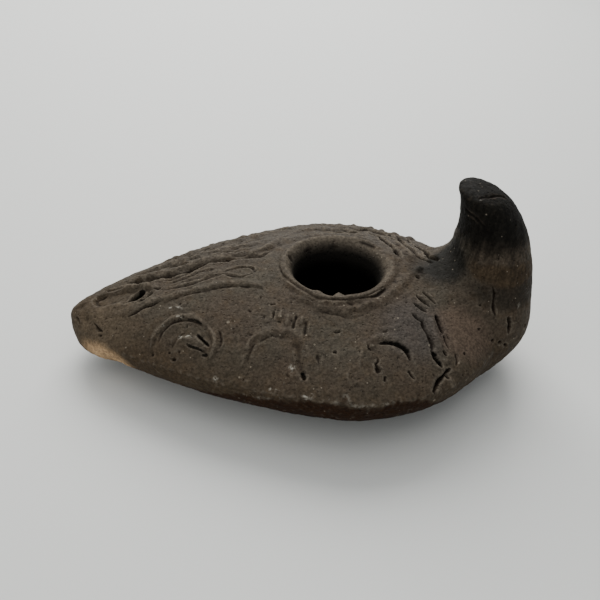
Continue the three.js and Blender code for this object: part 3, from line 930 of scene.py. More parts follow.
    horn: tuple = (
        crack(0.38, 0.6, (29.7, 25.8), (30.2, 24.0), (30.3, 22.2), (30.9, 20.2), side=Side.NEAR,
              uneven=0.6),
        crack(0.45, 0.9, (33.9, 20.0), (34.4, 18.4), (34.2, 16.4), side=Side.NEAR, uneven=0.6),
        ridge(0.5, 0.55, (23.9, 39.2), (25.2, 39.2), (26.2, 38.4), (26.9, 37.4), side=Side.NEAR),
        groove(0.6, 0.6, (24.0, 38.3), (25.0, 38.3), (26.0, 37.5), side=Side.NEAR),
        crack(0.3, 0.4, (25.0, -4.6), (27.4, -3.6), (29.2, -2.6), (30.9, -1.8), (32.2, -2.2), uneven=0.7),
        Dab((32.4, 15.0), (0.6, 0.5), -0.7, Side.NEAR),
        Dab((34.0, 13.9), (1.0, 0.5), -0.7, Side.NEAR, turn=-40.0),
        Dab((30.6, 15.8), (0.65, 0.5), -0.5, Side.NEAR),
        Dab((38.3, 13.4), (0.75, 0.6), -0.65, Side.NEAR),
        Dab((38.9, 16.2), (0.6, 0.55), -0.5, Side.NEAR),
        Dab((27.7, 21.8), (0.4, 0.4), -0.35, Side.NEAR),
        Dab((33.0, 22.0), (5.0, 8.0), -0.45, Side.NEAR),
        Dab((-50.0, 5.0), (7.0, 5.0), 1.0, Side.NEAR),
        Dab((-53.6, 6.2), (4.0, 4.0), 0.4, Side.NEAR),
    )

    lime: tuple = (
        ridge(0.4, 1.3, (-35.4, -6.6), (-34.7, -8.0), (-33.5, -7.9), (-32.0, -8.4), uneven=1.0),
        Dab((-33.1, -10.8), (0.9, 0.5), 1.2),
        Dab((-36.2, -11.7), (0.5, 0.45), 1.0),
        Dab((-32.6, -14.6), (1.0, 0.6), 1.2),
        Dab((-31.0, -15.2), (0.8, 0.5), 1.2),
        ridge(0.2, 0.8, (-16.2, -27.0), (-15.2, -27.6), (-13.9, -28.1), uneven=1.2),
        ridge(0.2, 0.8, (-13.2, -27.0), (-12.2, -26.2), (-11.4, -25.4), uneven=1.2),
        ridge(0.2, 0.8, (-11.6, -28.9), (-10.2, -29.4), (-8.8, -29.8), (-7.4, -29.4), uneven=1.2),
        Dab((-25.9, -23.7), (0.6, 0.5), 1.0),
        Dab((-11.6, -24.6), (1.3, 0.8), 1.0, turn=60.0),
        Dab((-9.2, -21.8), (0.35, 0.3), 1.0),
        Dab((18.6, -23.0), (0.5, 0.35), 1.0),
        Dab((25.5, -4.6), (0.4, 0.25), 0.8),
        Dab((28.2, -3.3), (0.45, 0.3), 0.8),
        Dab((36.1, 21.6), (0.6, 0.35), 0.9, Side.NEAR, turn=60.0),
        Dab((38.1, 25.1), (0.25, 0.25), 1.0, Side.NEAR),
        Dab((38.6, 23.2), (0.25, 0.25), 1.0, Side.NEAR),
    )

    def marks(self) -> list:
        """Lists every mark but the mouth's, which are drawn once the hole is cut."""
        groups = (self.channel, self.nozzle, self.rings, self.arches, self.far_side, self.palm, self.horn)
        return [mark for group in groups for mark in group]

    def lift(self, points: np.ndarray, skin: Skin) -> np.ndarray:
        """Adds up what all marks raise and sink.

        Args:
            points: places on the surface.
            skin: the bare surface.

        Returns:
            Millimetres along the surface's normal.
        """
        return sum(mark.lift(points, skin) for mark in self.marks())

    def cracked(self, points: np.ndarray, skin: Skin) -> np.ndarray:
        """Marks the beds of the cracks and cuts.

        Args:
            points: places on the finished surface.
            skin: that surface.

        Returns:
            A share from 0 to 1 for each place.
        """
        deepest = np.zeros(len(points))
        for mark in (*self.marks(), *self.mouth):
            if isinstance(mark, Stroke) and mark.cut is Cut.CRACK:
                deepest = np.minimum(deepest, mark.lift(points, skin))
        return smooth_rise(-deepest, 0.2, 0.8)

    def crust(self, points: np.ndarray, skin: Skin) -> np.ndarray:
        """Marks where white lime clings to the clay.

        Args:
            points: places on the surface.
            skin: the surface.

        Returns:
            A share from 0 to 1 for each place.
        """
        broken = smooth_rise(ripple(points, 0.7, 40.0), -0.3, 0.1)
        return np.minimum(1.0, sum(mark.lift(points, skin) for mark in self.lime)) * broken


@dataclass(frozen=True)
class Wear:
    """Small damage scattered over the clay: pits, hollows and a hand-made unevenness."""

    seed: int = 11
    pits: int = 320
    undulation: float = 0.26
    grain: float = 0.11
    ragged: float = 0.28
    broad_wave: float = 11.0
    middle_wave: float = 3.6
    fine_wave: float = 1.1
    ragged_wave: float = 1.9
    pit_radii: tuple = (0.3, 0.75)
    pit_depths: tuple = (0.08, 0.3)

    def roughness(self, points: np.ndarray) -> np.ndarray:
        """Gives the uneven hand-made surface, more ragged by the channel's far ridge and the far edge.

        Args:
            points: places on the surface.

        Returns:
            Millimetres along the surface's normal.
        """
        broad = ripple(points, self.broad_wave, 3.0) - 0.3
        middle = ripple(points, self.middle_wave, 9.0)
        fine = ripple(points, self.fine_wave, 21.0)
        x, y = points[:, 0], points[:, 1]
        torn = smooth_rise(y, 2.4, 5.0) * smooth_rise(x, -10.0, -16.0) * smooth_rise(x, -42.0, -34.0)
        coarse = np.maximum(torn, smooth_rise(y, 12.0, 20.0))
        ragged = self.ragged * ripple(points, self.ragged_wave, 51.0) * coarse
        return self.undulation * broad + 0.45 * self.undulation * middle + self.grain * fine + ragged

    def dents(self, points: np.ndarray) -> np.ndarray:
        """Presses small pits into the surface at seeded places.

        Args:
            points: places on the surface.

        Returns:
            Millimetres along the surface's normal.
        """
        chance = np.random.default_rng(self.seed)
        tree = KDTree(len(points))
        for index, place in enumerate(points.tolist()):
            tree.insert(place, index)
        tree.balance()
        depth = np.zeros(len(points))
        for centre in chance.integers(0, len(points), self.pits):
            radius = chance.uniform(*self.pit_radii)
            deep = chance.uniform(*self.pit_depths)
            grain = chance.normal(size=3)
            grain /= np.linalg.norm(grain)
            for place, index, gap in tree.find_range(Vector(points[centre]), radius):
                along = float(np.dot(place - Vector(points[centre]), grain))
                share = (gap**2 + 2.5 * max(0.0, gap**2 - along**2)) / radius**2
                depth[index] = min(depth[index], -deep * max(0.0, 1.0 - share))
        return depth


@dataclass(frozen=True)
class OilLamp:
    """The lamp's one piece: its form, its relief and the masks that its finish reads."""

    cell: float = 0.25
    triangles: int = 194000
    fillet: float = 7.5
    far_fillet: float = 0.12
    fillet_rounds: int = 160
    wick_middle: tuple = (-42.6, -1.8)
    wick_reach: tuple = (3.1, 2.6)
    # Where the reddish, darker underside starts along the lamp; its darkness is partly painted shade.
    underside_edge: tuple = (
        (-52.0, 2.0), (-32.0, 6.5), (-24.0, 9.6), (-14.0, 12.2),
        (-3.0, 13.8), (12.0, 13.4), (20.0, 9.5), (34.0, 5.0),
    )
    bowl: Bowl = field(default_factory=Bowl)
    relief: Relief = field(default_factory=Relief)
    wear: Wear = field(default_factory=Wear)

    def merged(self) -> Mesh:
        """Joins bowl, horn and rim, and softens where the horn's root meets the bowl.

        Returns:
            The bare form in millimetres, closed.
        """
        parts = [self.bowl.body(), Horn(self.bowl).body(), FillingHole(self.bowl).ring()]
        skins = [Skin(part) for part in parts[:2]]
        form = bmesh.new()
        for part in parts:
            form.from_mesh(part)
            bpy.data.meshes.remove(part)
        mesh = reshaped(mesh_of("clay", form), "REMESH", mode="VOXEL", voxel_size=self.cell)
        points = points_of(mesh)
        points = relaxed(mesh, points, np.full(len(points), 0.5), 3)
        near_root = np.flatnonzero(points[:, 0] > 10.0)
        gaps = np.full(len(points), self.fillet)
        found = [skin.distance(points[near_root]) for skin in skins]
        gaps[near_root] = np.maximum(found[0], found[1])
        reach = self.fillet * np.interp(points[:, 1], (-13.0, -5.0), (1.0, self.far_fillet))
        soft = smooth_rise(gaps / reach, 1.0, 0.0)
        place_points(mesh, points)
        normals = normals_of(mesh)
        filling = ((relaxed(mesh, points, 0.95 * soft, self.fillet_rounds) - points) * normals).sum(axis=1)
        points = points + normals * np.maximum(0.0, filling)[:, None]
        place_points(mesh, relaxed(mesh, points, 0.8 * soft, 5))
        return mesh

    def carved(self, mesh: Mesh) -> Mesh:
        """Draws relief and wear on the form, then cuts the chamber, filling hole and wick hole.

        Args:
            mesh: the bare form.

        Returns:
            The finished form in millimetres.
        """
        skin = Skin(mesh)
        points = points_of(mesh)
        worn = self.wear.roughness(points) + self.wear.dents(points)
        lift = self.relief.lift(points, skin) + worn * smooth_rise(points[:, 2], 0.2, 3.0)
        place_points(mesh, points + normals_of(mesh) * lift[:, None])
        for tool in (self.bowl.chamber(), FillingHole(self.bowl).bore(), WickHole().cutter()):
            mesh = cut_away(mesh, tool)
        share = self.triangles / sum(len(face.vertices) - 2 for face in mesh.polygons)
        mesh = reshaped(mesh, "DECIMATE", decimate_type="COLLAPSE", ratio=min(1.0, share))
        skin = Skin(mesh)
        points = points_of(mesh)
        lift = sum(mark.lift(points, skin) for mark in self.relief.mouth)
        place_points(mesh, points + normals_of(mesh) * lift[:, None])
        return mesh

    def inner_walls(self, points: np.ndarray, normals: np.ndarray) -> np.ndarray:
        """Marks the walls of the chamber, the funnel and the wick hole.

        Args:
            points: places on the finished surface.
            normals: the surface's normals there.

        Returns:
            A share from 0 to 1 for each place.
        """
        x, y, z = points.T
        radius = np.hypot(x, y)
        hole = FillingHole(self.bowl)
        half_width = self.bowl.half_width(x, 2.5, self.bowl.nozzle_solid - 1.5)
        under_roof = (z < self.bowl.shoulder(x) - 2.2) & (normals[:, 2] < 0.4) | (radius < 9.6)
        level = (z > self.bowl.keel(x) + 3.0) & (z < self.bowl.parting(x) + 6.2)
        chamber = (np.abs(y) < half_width) & under_roof & level
        facing_in = -(normals[:, 0] * x + normals[:, 1] * y) / np.maximum(radius, TINY)
        # Grows with depth, so the funnel is painted darker lower down: painted shade.
        funnel = smooth_rise(z, hole.crest - 0.3, hole.crest - 2.7) * (radius < hole.crest_radius)
        funnel = funnel * (facing_in > 0.0)
        offset = (points[:, :2] - self.wick_middle) / self.wick_reach
        at_wick = np.hypot(offset[:, 0], offset[:, 1]) < 1.1
        wick_wall = at_wick & ((normals[:, 2] < 0.6) | (z < 12.6))
        return np.maximum((chamber | wick_wall).astype(float), funnel)

    def seam_dust(self, points: np.ndarray, edge: np.ndarray) -> np.ndarray:
        """Marks the broken pale line along the near seam.

        Args:
            points: places on the finished surface.
            edge: the height where the reddish, darker underside starts, for each place.

        Returns:
            A share from 0 to 1 for each place.
        """
        x, y, z = points.T
        broken = smooth_rise(ripple(points, 1.3, 61.0), 0.0, 0.35)
        line = 0.3 * np.clip(1.0 - np.abs(z - edge - 0.4) / 0.55, 0.0, 1.0) * broken
        return line * (smooth_rise(x, -24.0, -16.0) * smooth_rise(x, 12.0, 4.0) * (y < 0.0))

    def masks(self, mesh: Mesh) -> None:
        """Stores what the finish needs to know about each place.

        Args:
            mesh: the finished form in millimetres.
        """
        skin = Skin(mesh)
        points = points_of(mesh)
        normals = normals_of(mesh)
        even = np.full(len(points), 0.7)
        near = relaxed(mesh, points, even, 3)
        wide = relaxed(mesh, points, even, 24)
        edge = np.interp(points[:, 0], *zip(*self.underside_edge))
        edge += 1.2 * ripple(points, 3.4, 13.0) + 0.8 * ripple(points, 1.3, 27.0)
        marks = {
            # cavity, hollow_form and cracked measure hollows, cracks and crests: the finish paints grime and
            # shade into hollows and cracks and a highlight onto crests; inside and underside are darkened
            # partly as painted shade.
            "cavity": 0.5 + ((near - points) * normals).sum(axis=1) * 4.5,
            "hollow_form": 0.5 + ((wide - points) * normals).sum(axis=1) * 1.6,
            "inside": self.inner_walls(points, normals),
            "underside": smooth_rise(points[:, 2], edge + 0.7, edge - 0.7),
            "lime": np.maximum(self.relief.crust(points, skin), self.seam_dust(points, edge)),
            "cracked": self.relief.cracked(points, skin),
        }
        for name, values in marks.items():
            layer = mesh.attributes.new(name, "FLOAT", "POINT")
            layer.data.foreach_set("value", np.clip(values, 0.0, 1.0))

    def build(self) -> bpy.types.Object:
        """Builds the whole piece in metres, inside the solid's box.

        Returns:
            The lamp's object at the origin, unturned and unscaled.
        """
        mesh = self.carved(self.merged())
        self.masks(mesh)
        low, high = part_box(NODE)
        shift = np.array([low.x + self.bowl.nose_length * MM, 0.0, 0.0])
        points = np.clip(points_of(mesh) * MM + shift, np.array(low), np.array(high))
        place_points(mesh, points)
        mesh.shade_smooth()
        made = link("oil_lamp_clay", mesh)
        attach(made, "root")
        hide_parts(NODE)
        count = sum(len(face.vertices) - 2 for face in mesh.polygons)
        LOG.info("oil lamp: %d triangles", count)
        return made


class Graph:
    """Adds nodes to one node tree and joins them."""

    def __init__(self, tree: bpy.types.NodeTree) -> None:
        """Takes over a node tree and empties it."""
        self.tree = tree
        tree.nodes.clear()

    def add(self, kind: str, **inputs: object) -> bpy.types.Node:
        """Adds a node and fills its inputs.

        Args:
            kind: the node's type.
            **inputs: values or sockets by input name, with spaces as underscores.

        Returns:
            The node.
        """
        node = self.tree.nodes.new(kind)
        for name, value in inputs.items():
            self.feed(node.inputs[name.replace("_", " ")], value)
        return node

    def feed(self, socket: Socket, value: object) -> None:
        """Joins a socket to an input, or sets the input's value.

        Args:
            socket: the input.
            value: a socket or a plain value.
        """
        if isinstance(value, Socket):
            self.tree.links.new(value, socket)
        else:
            socket.default_value = value

    def math(self, operation: str, *values: object) -> Socket:
        """Adds a math node.

        Args:
            operation: the node's operation.
            *values: its inputs in order, numbers or sockets.

        Returns:
            The result's socket.
        """
        node = self.tree.nodes.new("ShaderNodeMath")
        node.operation = operation
        for socket, value in zip(node.inputs, values):
            self.feed(socket, value)
        return node.outputs[0]

    def span(
        self, value: object, low: float, high: float, first: float = 0.0, last: float = 1.0
    ) -> Socket:
        """Maps a range smoothly onto another.

        Args:
            value: the socket to map.
            low: the value that gives first.
            high: the value that gives last.
            first: the result at low.
            last: the result at high.

        Returns:
            The result's socket.
        """
        node = self.tree.nodes.new("ShaderNodeMapRange")
        node.interpolation_type = "SMOOTHSTEP"
        for socket, item in zip(node.inputs, (value, low, high, first, last)):
            self.feed(socket, item)
        return node.outputs[0]

    def blend(self, share: object, first: object, second: object, mode: str = "MIX") -> Socket:
        """Mixes two colours.

        Args:
            share: how much of the second colour there is.
            first: the first colour.
            second: the second colour.
            mode: how they are mixed.

        Returns:
            The mixed colour's socket.
        """
        node = self.tree.nodes.new("ShaderNodeMix")
        node.data_type = "RGBA"
        node.blend_type = mode
        self.feed(node.inputs["Factor"], share)
        self.feed(node.inputs[6], first)
        self.feed(node.inputs[7], second)
        return node.outputs[2]

    def noise(self, where: object, scale: float, detail: float = 4.0, rough: float = 0.55) -> Socket:
        """Adds a noise texture.

        Args:
            where: the coordinates' socket.
            scale: waves a metre.
            detail: the number of finer layers.
            rough: how strong the finer layers are.

        Returns:
            The noise's value socket.
        """
        node = self.add("ShaderNodeTexNoise", Vector=where, Scale=scale, Detail=detail, Roughness=rough)
        return node.outputs[0]


@dataclass(frozen=True)
class Effect:
    """A shader effect kept as a node group, which gives colours, masks or values only."""

    name: str

    def start(self, outputs: dict, inputs: dict) -> tuple:
        """Makes the group with its sockets.

        Args:
            outputs: socket type by output name.
            inputs: socket type by input name.

        Returns:
            The group's tree, its graph and its input and output nodes.
        """
        tree = bpy.data.node_groups.new(self.name, "ShaderNodeTree")
        for name, kind in inputs.items():
            tree.interface.new_socket(name=name, in_out="INPUT", socket_type=kind)
        for name, kind in outputs.items():
            tree.interface.new_socket(name=name, in_out="OUTPUT", socket_type=kind)
        graph = Graph(tree)
        return tree, graph, graph.add("NodeGroupInput"), graph.add("NodeGroupOutput")


@dataclass(frozen=True)
class Flecks(Effect):
    """Pale grit that shows at the surface."""

    name: str = "pale flecks"
    cell: float = 1400.0
    share: float = 0.06

    def group(self) -> bpy.types.NodeTree:
        """Builds the group.

        Returns:
            A group that gives a mask of small, uneven specks.
        """
        tree, graph, given, result = self.start({"Mask": "NodeSocketFloat"}, {"Where": "NodeSocketVector"})
        where = given.outputs["Where"]
        masks = []
        for scale, share, size in ((self.cell, self.share, 0.3), (self.cell * 0.42, self.share * 0.5, 0.2)):
            cells = graph.add("ShaderNodeTexVoronoi", Vector=where, Scale=scale)
            parted = graph.add("ShaderNodeSeparateColor", Color=cells.outputs["Color"])
            chosen = graph.math("LESS_THAN", parted.outputs[0], share)
            reach = graph.math("MULTIPLY", parted.outputs[1], size)
            round_mask = graph.math("LESS_THAN", cells.outputs["Distance"], reach)
            masks.append(graph.math("MULTIPLY", chosen, round_mask))
        graph.feed(result.inputs["Mask"], graph.math("MAXIMUM", *masks))
        return tree


@dataclass(frozen=True)
class Grain(Effect):
    """The clay's fine roughness, as a height."""

    name: str = "clay grain"
    coarse: float = 620.0
    fine: float = 2400.0
    pores: float = 900.0

    def group(self) -> bpy.types.NodeTree:
        """Builds the group.

        Returns:
            A group that gives two sizes of grain, with pores, as a height.
        """
        tree, graph, given, result = self.start({"Height": "NodeSocketFloat"}, {"Where": "NodeSocketVector"})
        where = given.outputs["Where"]
        coarse = graph.noise(where, self.coarse, 3.0, 0.6)
        fine = graph.noise(where, self.fine, 3.0, 0.7)
        pores = graph.add("ShaderNodeTexVoronoi", Vector=where, Scale=self.pores).outputs["Distance"]
        holes = graph.span(pores, 0.28, 0.08, 0.0, -0.7)
        height = graph.math("ADD", coarse, graph.math("MULTIPLY", fine, 0.45))
        graph.feed(result.inputs["Height"], graph.math("ADD", height, holes))
        return tree


@dataclass(frozen=True)
class Patch:
    """A soft patch of colour round a place, in millimetres from the filling hole's axis."""

    centre: tuple
    radii: tuple
    colour: tuple
    strength: float


@dataclass(frozen=True)
class FiredClay:
    """Grey-brown fired clay: a reddish underside and a blackened inside, both darkened partly as painted
    shade; sooty patches on the horn; grime and painted shade in hollows; crests lighter partly from wear and
    partly as painted highlight; the far side paler as painted highlight.
    """

    clay: tuple = (0.055, 0.043, 0.031, 1.0)
    grey: tuple = (0.054, 0.046, 0.034, 1.0)
    # Painted highlight: the paler colour given to the far side, which faces the light.
    pale: tuple = (0.062, 0.053, 0.043, 1.0)
    brown: tuple = (0.043, 0.030, 0.018, 1.0)
    # Reddish dark underside: partly the clay's colour, partly painted shade.
    ruddy_shaded: tuple = (0.020, 0.0095, 0.0045, 1.0)
    scorched: tuple = (0.42, 0.28, 0.155, 1.0)
    warm: tuple = (0.092, 0.067, 0.049, 1.0)
    olive: tuple = (0.082, 0.063, 0.042, 1.0)
    ashen: tuple = (0.053, 0.047, 0.043, 1.0)
    cool: tuple = (0.014, 0.0135, 0.0115, 1.0)
    # Soot on the horn; also painted shade that blackens the chamber, funnel and wick hole.
    soot_and_shade: tuple = (0.006, 0.0055, 0.0045, 1.0)
    # Grime and painted shade for hollows and cracks.
    dirt_and_shade: tuple = (0.010, 0.007, 0.005, 1.0)
    # Lighter colour of crests: partly worn clay, partly painted highlight.
    crest: tuple = (0.098, 0.082, 0.062, 1.0)
    fleck: tuple = (0.30, 0.26, 0.20, 1.0)
    lime: tuple = (0.36, 0.34, 0.29, 1.0)
    roughness: float = 0.66
    sheen: float = 0.05
    patch_scale: float = 70.0
    cloud_scale: float = 330.0
    speckle_scale: float = 1900.0
    streak_scale: float = 1000.0
    crumb_scale: float = 1500.0
    bump_depth: float = 0.0003
    on_horn: tuple = (
        Patch((22.0, -15.0, 16.0), (11.0, 10.0, 8.0), warm, 0.8),
        Patch((28.0, 0.0, 42.0), (26.0, 24.0, 17.4), soot_and_shade, 0.97),
        Patch((21.0, 0.0, 26.0), (10.0, 12.0, 7.0), cool, 0.95),
        Patch((34.5, -8.0, 23.6), (12.0, 12.0, 4.3), soot_and_shade, 0.55),
        Patch((33.0, -8.0, 27.8), (11.0, 12.0, 3.4), brown, 0.85),
    )
    on_bowl: tuple = (
        Patch((-47.0, -6.0, 11.0), (16.0, 10.0, 7.0), olive, 0.65),
        Patch((13.0, -17.0, 20.0), (9.0, 11.0, 8.0), ashen, 0.6),
    )
    under_nozzle: Patch = Patch((-48.0, -10.4, 6.6), (9.0, 7.0, 4.8), scorched, 0.95)

    def around(self, graph: Graph, where: object, patch: Patch, shift: float) -> Socket:
        """Makes the mask of a soft patch.

        Args:
            graph: the material's graph.
            where: the coordinates' socket, in metres.
            patch: the patch.
            shift: how far the filling hole's axis lies along X, in millimetres.

        Returns:
            A mask that is 1 in the middle.
        """
        node = graph.tree.nodes.new("ShaderNodeMapping")
        node.vector_type = "POINT"
        centre = (patch.centre[0] + shift, *patch.centre[1:])
        scale = [1.0 / (radius * MM) for radius in patch.radii]
        graph.feed(node.inputs["Vector"], where)
        node.inputs["Scale"].default_value = scale
        node.inputs["Location"].default_value = [-place * MM * size for place, size in zip(centre, scale)]
        length = graph.tree.nodes.new("ShaderNodeVectorMath")
        length.operation = "LENGTH"
        graph.feed(length.inputs[0], node.outputs[0])
        return graph.span(length.outputs["Value"], 1.0, 0.35)

    def axis(self, graph: Graph, where: object, index: int) -> Socket:
        """Reads one coordinate, in metres."""
        return graph.add("ShaderNodeSeparateXYZ", Vector=where).outputs[index]

    def bare_colour(self, graph: Graph, where: object, cloud: object) -> Socket:
        """Mixes the clay's colours with painted light: the far side paler as painted highlight, the lower
        part browner and darker and the underside reddish and dark, each partly the clay's colour and partly
        painted shade, and crests lighter, partly worn and partly painted highlight.

        Args:
            graph: the material's graph.
            where: the coordinates' socket.
            cloud: fine noise.

        Returns:
            The colour's socket.
        """
        across, height = (self.axis(graph, where, index) for index in (1, 2))
        patches = graph.noise(where, self.patch_scale, 4.0, 0.55)
        colour = graph.blend(graph.span(patches, 0.38, 0.62), self.clay, self.grey)
        # Painted highlight: the far side, which faces the light, is made paler.
        colour = graph.blend(graph.span(across, -0.002, 0.016, 0.0, 0.8), colour, self.pale)
        colour = graph.blend(graph.span(cloud, 0.5, 0.66, 0.0, 0.4), colour, self.brown)
        # Browner and darker lower down: partly the clay's colour, partly painted shade.
        colour = graph.blend(graph.span(height, 0.020, 0.009, 0.0, 0.85), colour, self.brown)
        # Reddish dark underside: partly the clay's colour, partly painted shade.
        colour = graph.blend(self.mask(graph, "underside"), colour, self.ruddy_shaded)
        # Lighter crests, partly wear and partly painted highlight, stronger on the far side where light
        # falls.
        far_side_lit = graph.span(across, 0.0, 0.012, 0.62, 0.85)
        crests = graph.math("MULTIPLY", graph.span(self.mask(graph, "cavity"), 0.43, 0.2), far_side_lit)
        return graph.blend(crests, colour, self.crest)

    def bowl_colour(self, graph: Graph, where: object, colour: object, shift: float, cloud: object) -> Socket:
        """Lays the bowl's two patches, lighter worn crests on the horn's top (partly painted highlight) and
        the scorched nozzle.

        Args:
            graph: the material's graph.
            where: the coordinates' socket.
            colour: the clay's colour so far.
            shift: how far the filling hole's axis lies along X, in millimetres.
            cloud: noise that makes the scorched patch uneven.

        Returns:
            The colour's socket.
        """
        for patch in self.on_bowl:
            mask = self.around(graph, where, patch, shift)
            colour = graph.blend(graph.math("MULTIPLY", mask, patch.strength), colour, patch.colour)
        # Lighter crests on the horn's top: partly worn colour, partly painted highlight.
        rubbed_and_lit = graph.span(self.mask(graph, "cavity"), 0.4, 0.12, 0.0, 0.25)
        worn = graph.math("MULTIPLY", rubbed_and_lit, graph.span(self.axis(graph, where, 2), 0.028, 0.034))
        colour = graph.blend(worn, colour, self.clay)
        scorch = self.around(graph, where, self.under_nozzle, shift)
        uneven = graph.span(cloud, 0.3, 0.6, 0.6, self.under_nozzle.strength)
        return graph.blend(graph.math("MULTIPLY", scorch, uneven), colour, self.under_nozzle.colour)

    def mottled(self, graph: Graph, where: object, colour: object, cloud: object) -> Socket:
        """Makes the colour uneven, and streaky on the horn.

        Args:
            graph: the material's graph.
            where: the coordinates' socket.
            colour: the colour so far.
            cloud: fine noise.

        Returns:
            The colour's socket.
        """
        blotches = graph.span(cloud, 0.3, 0.7, 0.86, 1.14)
        speckle = graph.noise(where, self.speckle_scale, 3.0, 0.6)
        mottle = graph.math("MULTIPLY", blotches, graph.span(speckle, 0.3, 0.7, 0.7, 1.3))
        stretched = graph.add("ShaderNodeMapping", Vector=where, Scale=(1.0, 1.0, 0.1)).outputs[0]
        streaks = graph.span(graph.noise(stretched, self.streak_scale, 3.0, 0.65), 0.35, 0.65, -0.38, 0.32)
        horn = graph.span(self.axis(graph, where, 2), 0.024, 0.029)
        streaked = graph.math("ADD", 1.0, graph.math("MULTIPLY", streaks, horn))
        mottle = graph.math("MULTIPLY", mottle, streaked)
        shade = graph.add("ShaderNodeCombineColor", Red=mottle, Green=mottle, Blue=mottle).outputs[0]
        return graph.blend(1.0, colour, shade, "MULTIPLY")

    def soiled_and_shaded(self, graph: Graph, where: object, colour: object) -> Socket:
        """Darkens hollows and cracks with grime and painted shade, adds grit and lime, and blackens the
        inside as sooty colour and painted shade.

        Args:
            graph: the material's graph.
            where: the coordinates' socket.
            colour: the colour so far.

        Returns:
            The colour's socket.
        """
        names = ("cavity", "hollow_form", "cracked", "lime", "inside")
        cavity, form, cracked, lime, inside = (self.mask(graph, name) for name in names)
        # Grime and painted shade: darker in small hollows, cracks and broad hollows.
        colour = graph.blend(graph.span(cavity, 0.57, 0.95, 0.0, 0.78), colour, self.dirt_and_shade)
        colour = graph.blend(graph.math("MULTIPLY", cracked, 0.8), colour, self.dirt_and_shade)
        colour = graph.blend(graph.span(form, 0.6, 1.0, 0.0, 0.4), colour, self.dirt_and_shade)
        flecks = self.effect(graph, Flecks(), where).outputs["Mask"]
        colour = graph.blend(graph.math("MULTIPLY", flecks, 0.4), colour, self.fleck)
        crumbs = graph.span(graph.noise(where, self.crumb_scale, 3.0, 0.7), 0.44, 0.56)
        colour = graph.blend(graph.math("MULTIPLY", lime, crumbs), colour, self.lime)
        # Soot and painted shade: the chamber, funnel and wick hole are made almost black.
        return graph.blend(graph.math("MULTIPLY", inside, 0.97), colour, self.soot_and_shade)

    def material(self, shift: float) -> bpy.types.Material:
        """Builds the material.

        Args:
            shift: how far the filling hole's axis lies along X, in millimetres.

        Returns:
            The material.
        """
        made = bpy.data.materials.new("fired clay")
        made.use_nodes = True
        graph = Graph(made.node_tree)
        where = graph.add("ShaderNodeTexCoord").outputs["Object"]
        cloud = graph.noise(where, self.cloud_scale, 5.0, 0.65)
        colour = self.bare_colour(graph, where, cloud)
        colour = self.horn_colour(graph, where, colour, shift, cloud)
        colour = self.bowl_colour(graph, where, colour, shift, cloud)
        colour = self.mottled(graph, where, colour, cloud)
        colour = self.soiled_and_shaded(graph, where, colour)
        height = self.effect(graph, Grain(), where).outputs["Height"]
        bump = graph.add("ShaderNodeBump", Height=height, Distance=self.bump_depth, Strength=0.9)
        rough = graph.span(cloud, 0.25, 0.75, self.roughness - 0.08, self.roughness + 0.14)
        shader = graph.add("ShaderNodeBsdfPrincipled", Base_Color=colour, Roughness=rough)
        graph.feed(shader.inputs["Normal"], bump.outputs[0])
        shader.inputs["Specular IOR Level"].default_value = self.sheen
        graph.add("ShaderNodeOutputMaterial", Surface=shader.outputs[0])
        return made

    def horn_colour(self, graph: Graph, where: object, colour: object, shift: float, cloud: object) -> Socket:
        """Lays the warm root, the sooty patches and the brown band on the horn.

        Args:
            graph: the material's graph.
            where: the coordinates' socket.
            colour: the clay's colour so far.
            shift: how far the filling hole's axis lies along X, in millimetres.
            cloud: noise that makes the edges uneven.

        Returns:
            The colour's socket.
        """
        uneven = graph.math("MULTIPLY", graph.math("SUBTRACT", cloud, 0.5), 0.9)
        for patch in self.on_horn:
            mask = self.around(graph, where, patch, shift)
            ragged = graph.math("ADD", mask, graph.math("MULTIPLY", uneven, graph.span(mask, 0.0, 0.3)))
            colour = graph.blend(graph.span(ragged, 0.1, 0.85, 0.0, patch.strength), colour, patch.colour)
        return colour

    def mask(self, graph: Graph, name: str) -> Socket:
        """Reads one of the mesh's masks.

        Args:
            graph: the material's graph.
            name: the mask's name.

        Returns:
            The mask's socket.
        """
        node = graph.add("ShaderNodeAttribute")
        node.attribute_name = name
        return node.outputs["Fac"]

    def effect(self, graph: Graph, effect: Effect, where: object) -> bpy.types.Node:
        """Adds an effect's group and gives it the coordinates.

        Args:
            graph: the material's graph.
            effect: the effect.
            where: the coordinates' socket.

        Returns:
            The group's node.
        """
        node = graph.tree.nodes.new("ShaderNodeGroup")
        node.node_tree = effect.group()
        graph.feed(node.inputs["Where"], where)
        return node


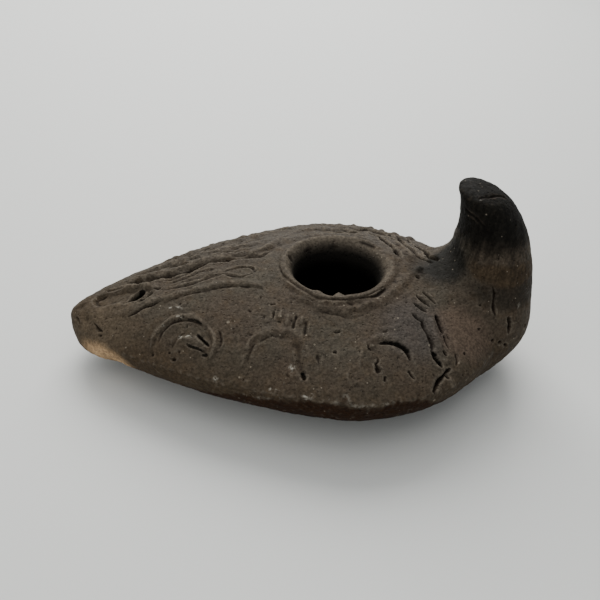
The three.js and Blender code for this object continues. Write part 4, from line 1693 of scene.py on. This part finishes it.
@dataclass(frozen=True)
class Studio:
    """The pale floor, the soft light and the camera at the photograph's angle."""

    AIM = (0.0, 0.0, 0.015)
    floor_size: float = 3.0
    floor_colour: tuple = (0.62, 0.63, 0.61, 1.0)
    sky: tuple = (0.86, 0.88, 0.90, 1.0)
    sky_strength: float = 0.6
    lens: float = 45.59
    camera_place: tuple = (-0.02108, -0.13101, 0.11163)
    azimuth: float = 8.65
    pitch: float = 36.36
    roll: float = 5.39
    lamps: tuple = (
        ("window", (0.0, 0.40, 0.38), 0.45, 4.4, (1.0, 0.99, 0.97)),
        ("ceiling", (-0.1, -0.05, 0.9), 0.9, 2.6, (1.0, 0.99, 0.97)),
        ("side", (-0.55, -0.38, 0.34), 0.5, 1.15, (1.0, 0.98, 0.95)),
    )

    def floor(self) -> None:
        """Lays the plain floor that the lamp stands on."""
        form = bmesh.new()
        bmesh.ops.create_grid(form, x_segments=1, y_segments=1, size=self.floor_size / 2.0)
        made = link("floor", mesh_of("floor", form))
        surface = bpy.data.materials.new("plain floor")
        surface.use_nodes = True
        graph = Graph(surface.node_tree)
        shader = graph.add("ShaderNodeBsdfPrincipled", Base_Color=self.floor_colour, Roughness=0.6)
        graph.add("ShaderNodeOutputMaterial", Surface=shader.outputs[0])
        made.data.materials.append(surface)

    def lamp(self, name: str, place: tuple, size: float, power: float, colour: tuple) -> None:
        """Adds a soft square light aimed at the lamp.

        Args:
            name: the light's name.
            place: its middle.
            size: its side.
            power: its power in watts.
            colour: its colour.
        """
        light = bpy.data.lights.new(name, "AREA")
        light.size = size
        light.energy = power
        light.color = colour
        made = bpy.data.objects.new(name, light)
        made.location = place
        made.rotation_mode = "QUATERNION"
        made.rotation_quaternion = (Vector(self.AIM) - Vector(place)).to_track_quat("-Z", "Y")
        bpy.context.scene.collection.objects.link(made)

    def lights(self) -> None:
        """Lights the lamp from above and behind, with a pale surround."""
        for lamp in self.lamps:
            self.lamp(*lamp)
        world = bpy.data.worlds.new("pale surround")
        bpy.context.scene.world = world
        world.use_nodes = True
        graph = Graph(world.node_tree)
        surround = graph.add("ShaderNodeBackground", Color=self.sky, Strength=self.sky_strength)
        graph.add("ShaderNodeOutputWorld", Surface=surround.outputs[0])

    def camera(self) -> None:
        """Puts the camera where the photograph was taken from."""
        azimuth, pitch = math.radians(self.azimuth), math.radians(self.pitch)
        level = math.cos(pitch)
        forward = Vector((math.sin(azimuth) * level, math.cos(azimuth) * level, -math.sin(pitch)))
        turn = forward.to_track_quat("-Z", "Y").to_matrix() @ Matrix.Rotation(math.radians(self.roll), 3, "Z")
        data = bpy.data.cameras.new("camera")
        data.lens = self.lens
        data.clip_start = 0.01
        data.clip_end = 10.0
        made = bpy.data.objects.new("camera", data)
        made.matrix_world = Matrix.Translation(Vector(self.camera_place)) @ turn.to_4x4()
        bpy.context.scene.collection.objects.link(made)
        bpy.context.scene.camera = made

    def build(self) -> None:
        """Builds the whole set."""
        self.floor()
        self.lights()
        self.camera()


def main() -> None:
    """Builds the lamp, dresses it and sets up the picture."""
    logging.basicConfig(level=logging.INFO, format="%(name)s: %(message)s")
    lamp = OilLamp()
    made = lamp.build()
    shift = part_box(NODE)[0].x / MM + lamp.bowl.nose_length
    made.data.materials.clear()
    made.data.materials.append(FiredClay().material(shift))
    Studio().build()


if __name__ == "__main__":
    main()
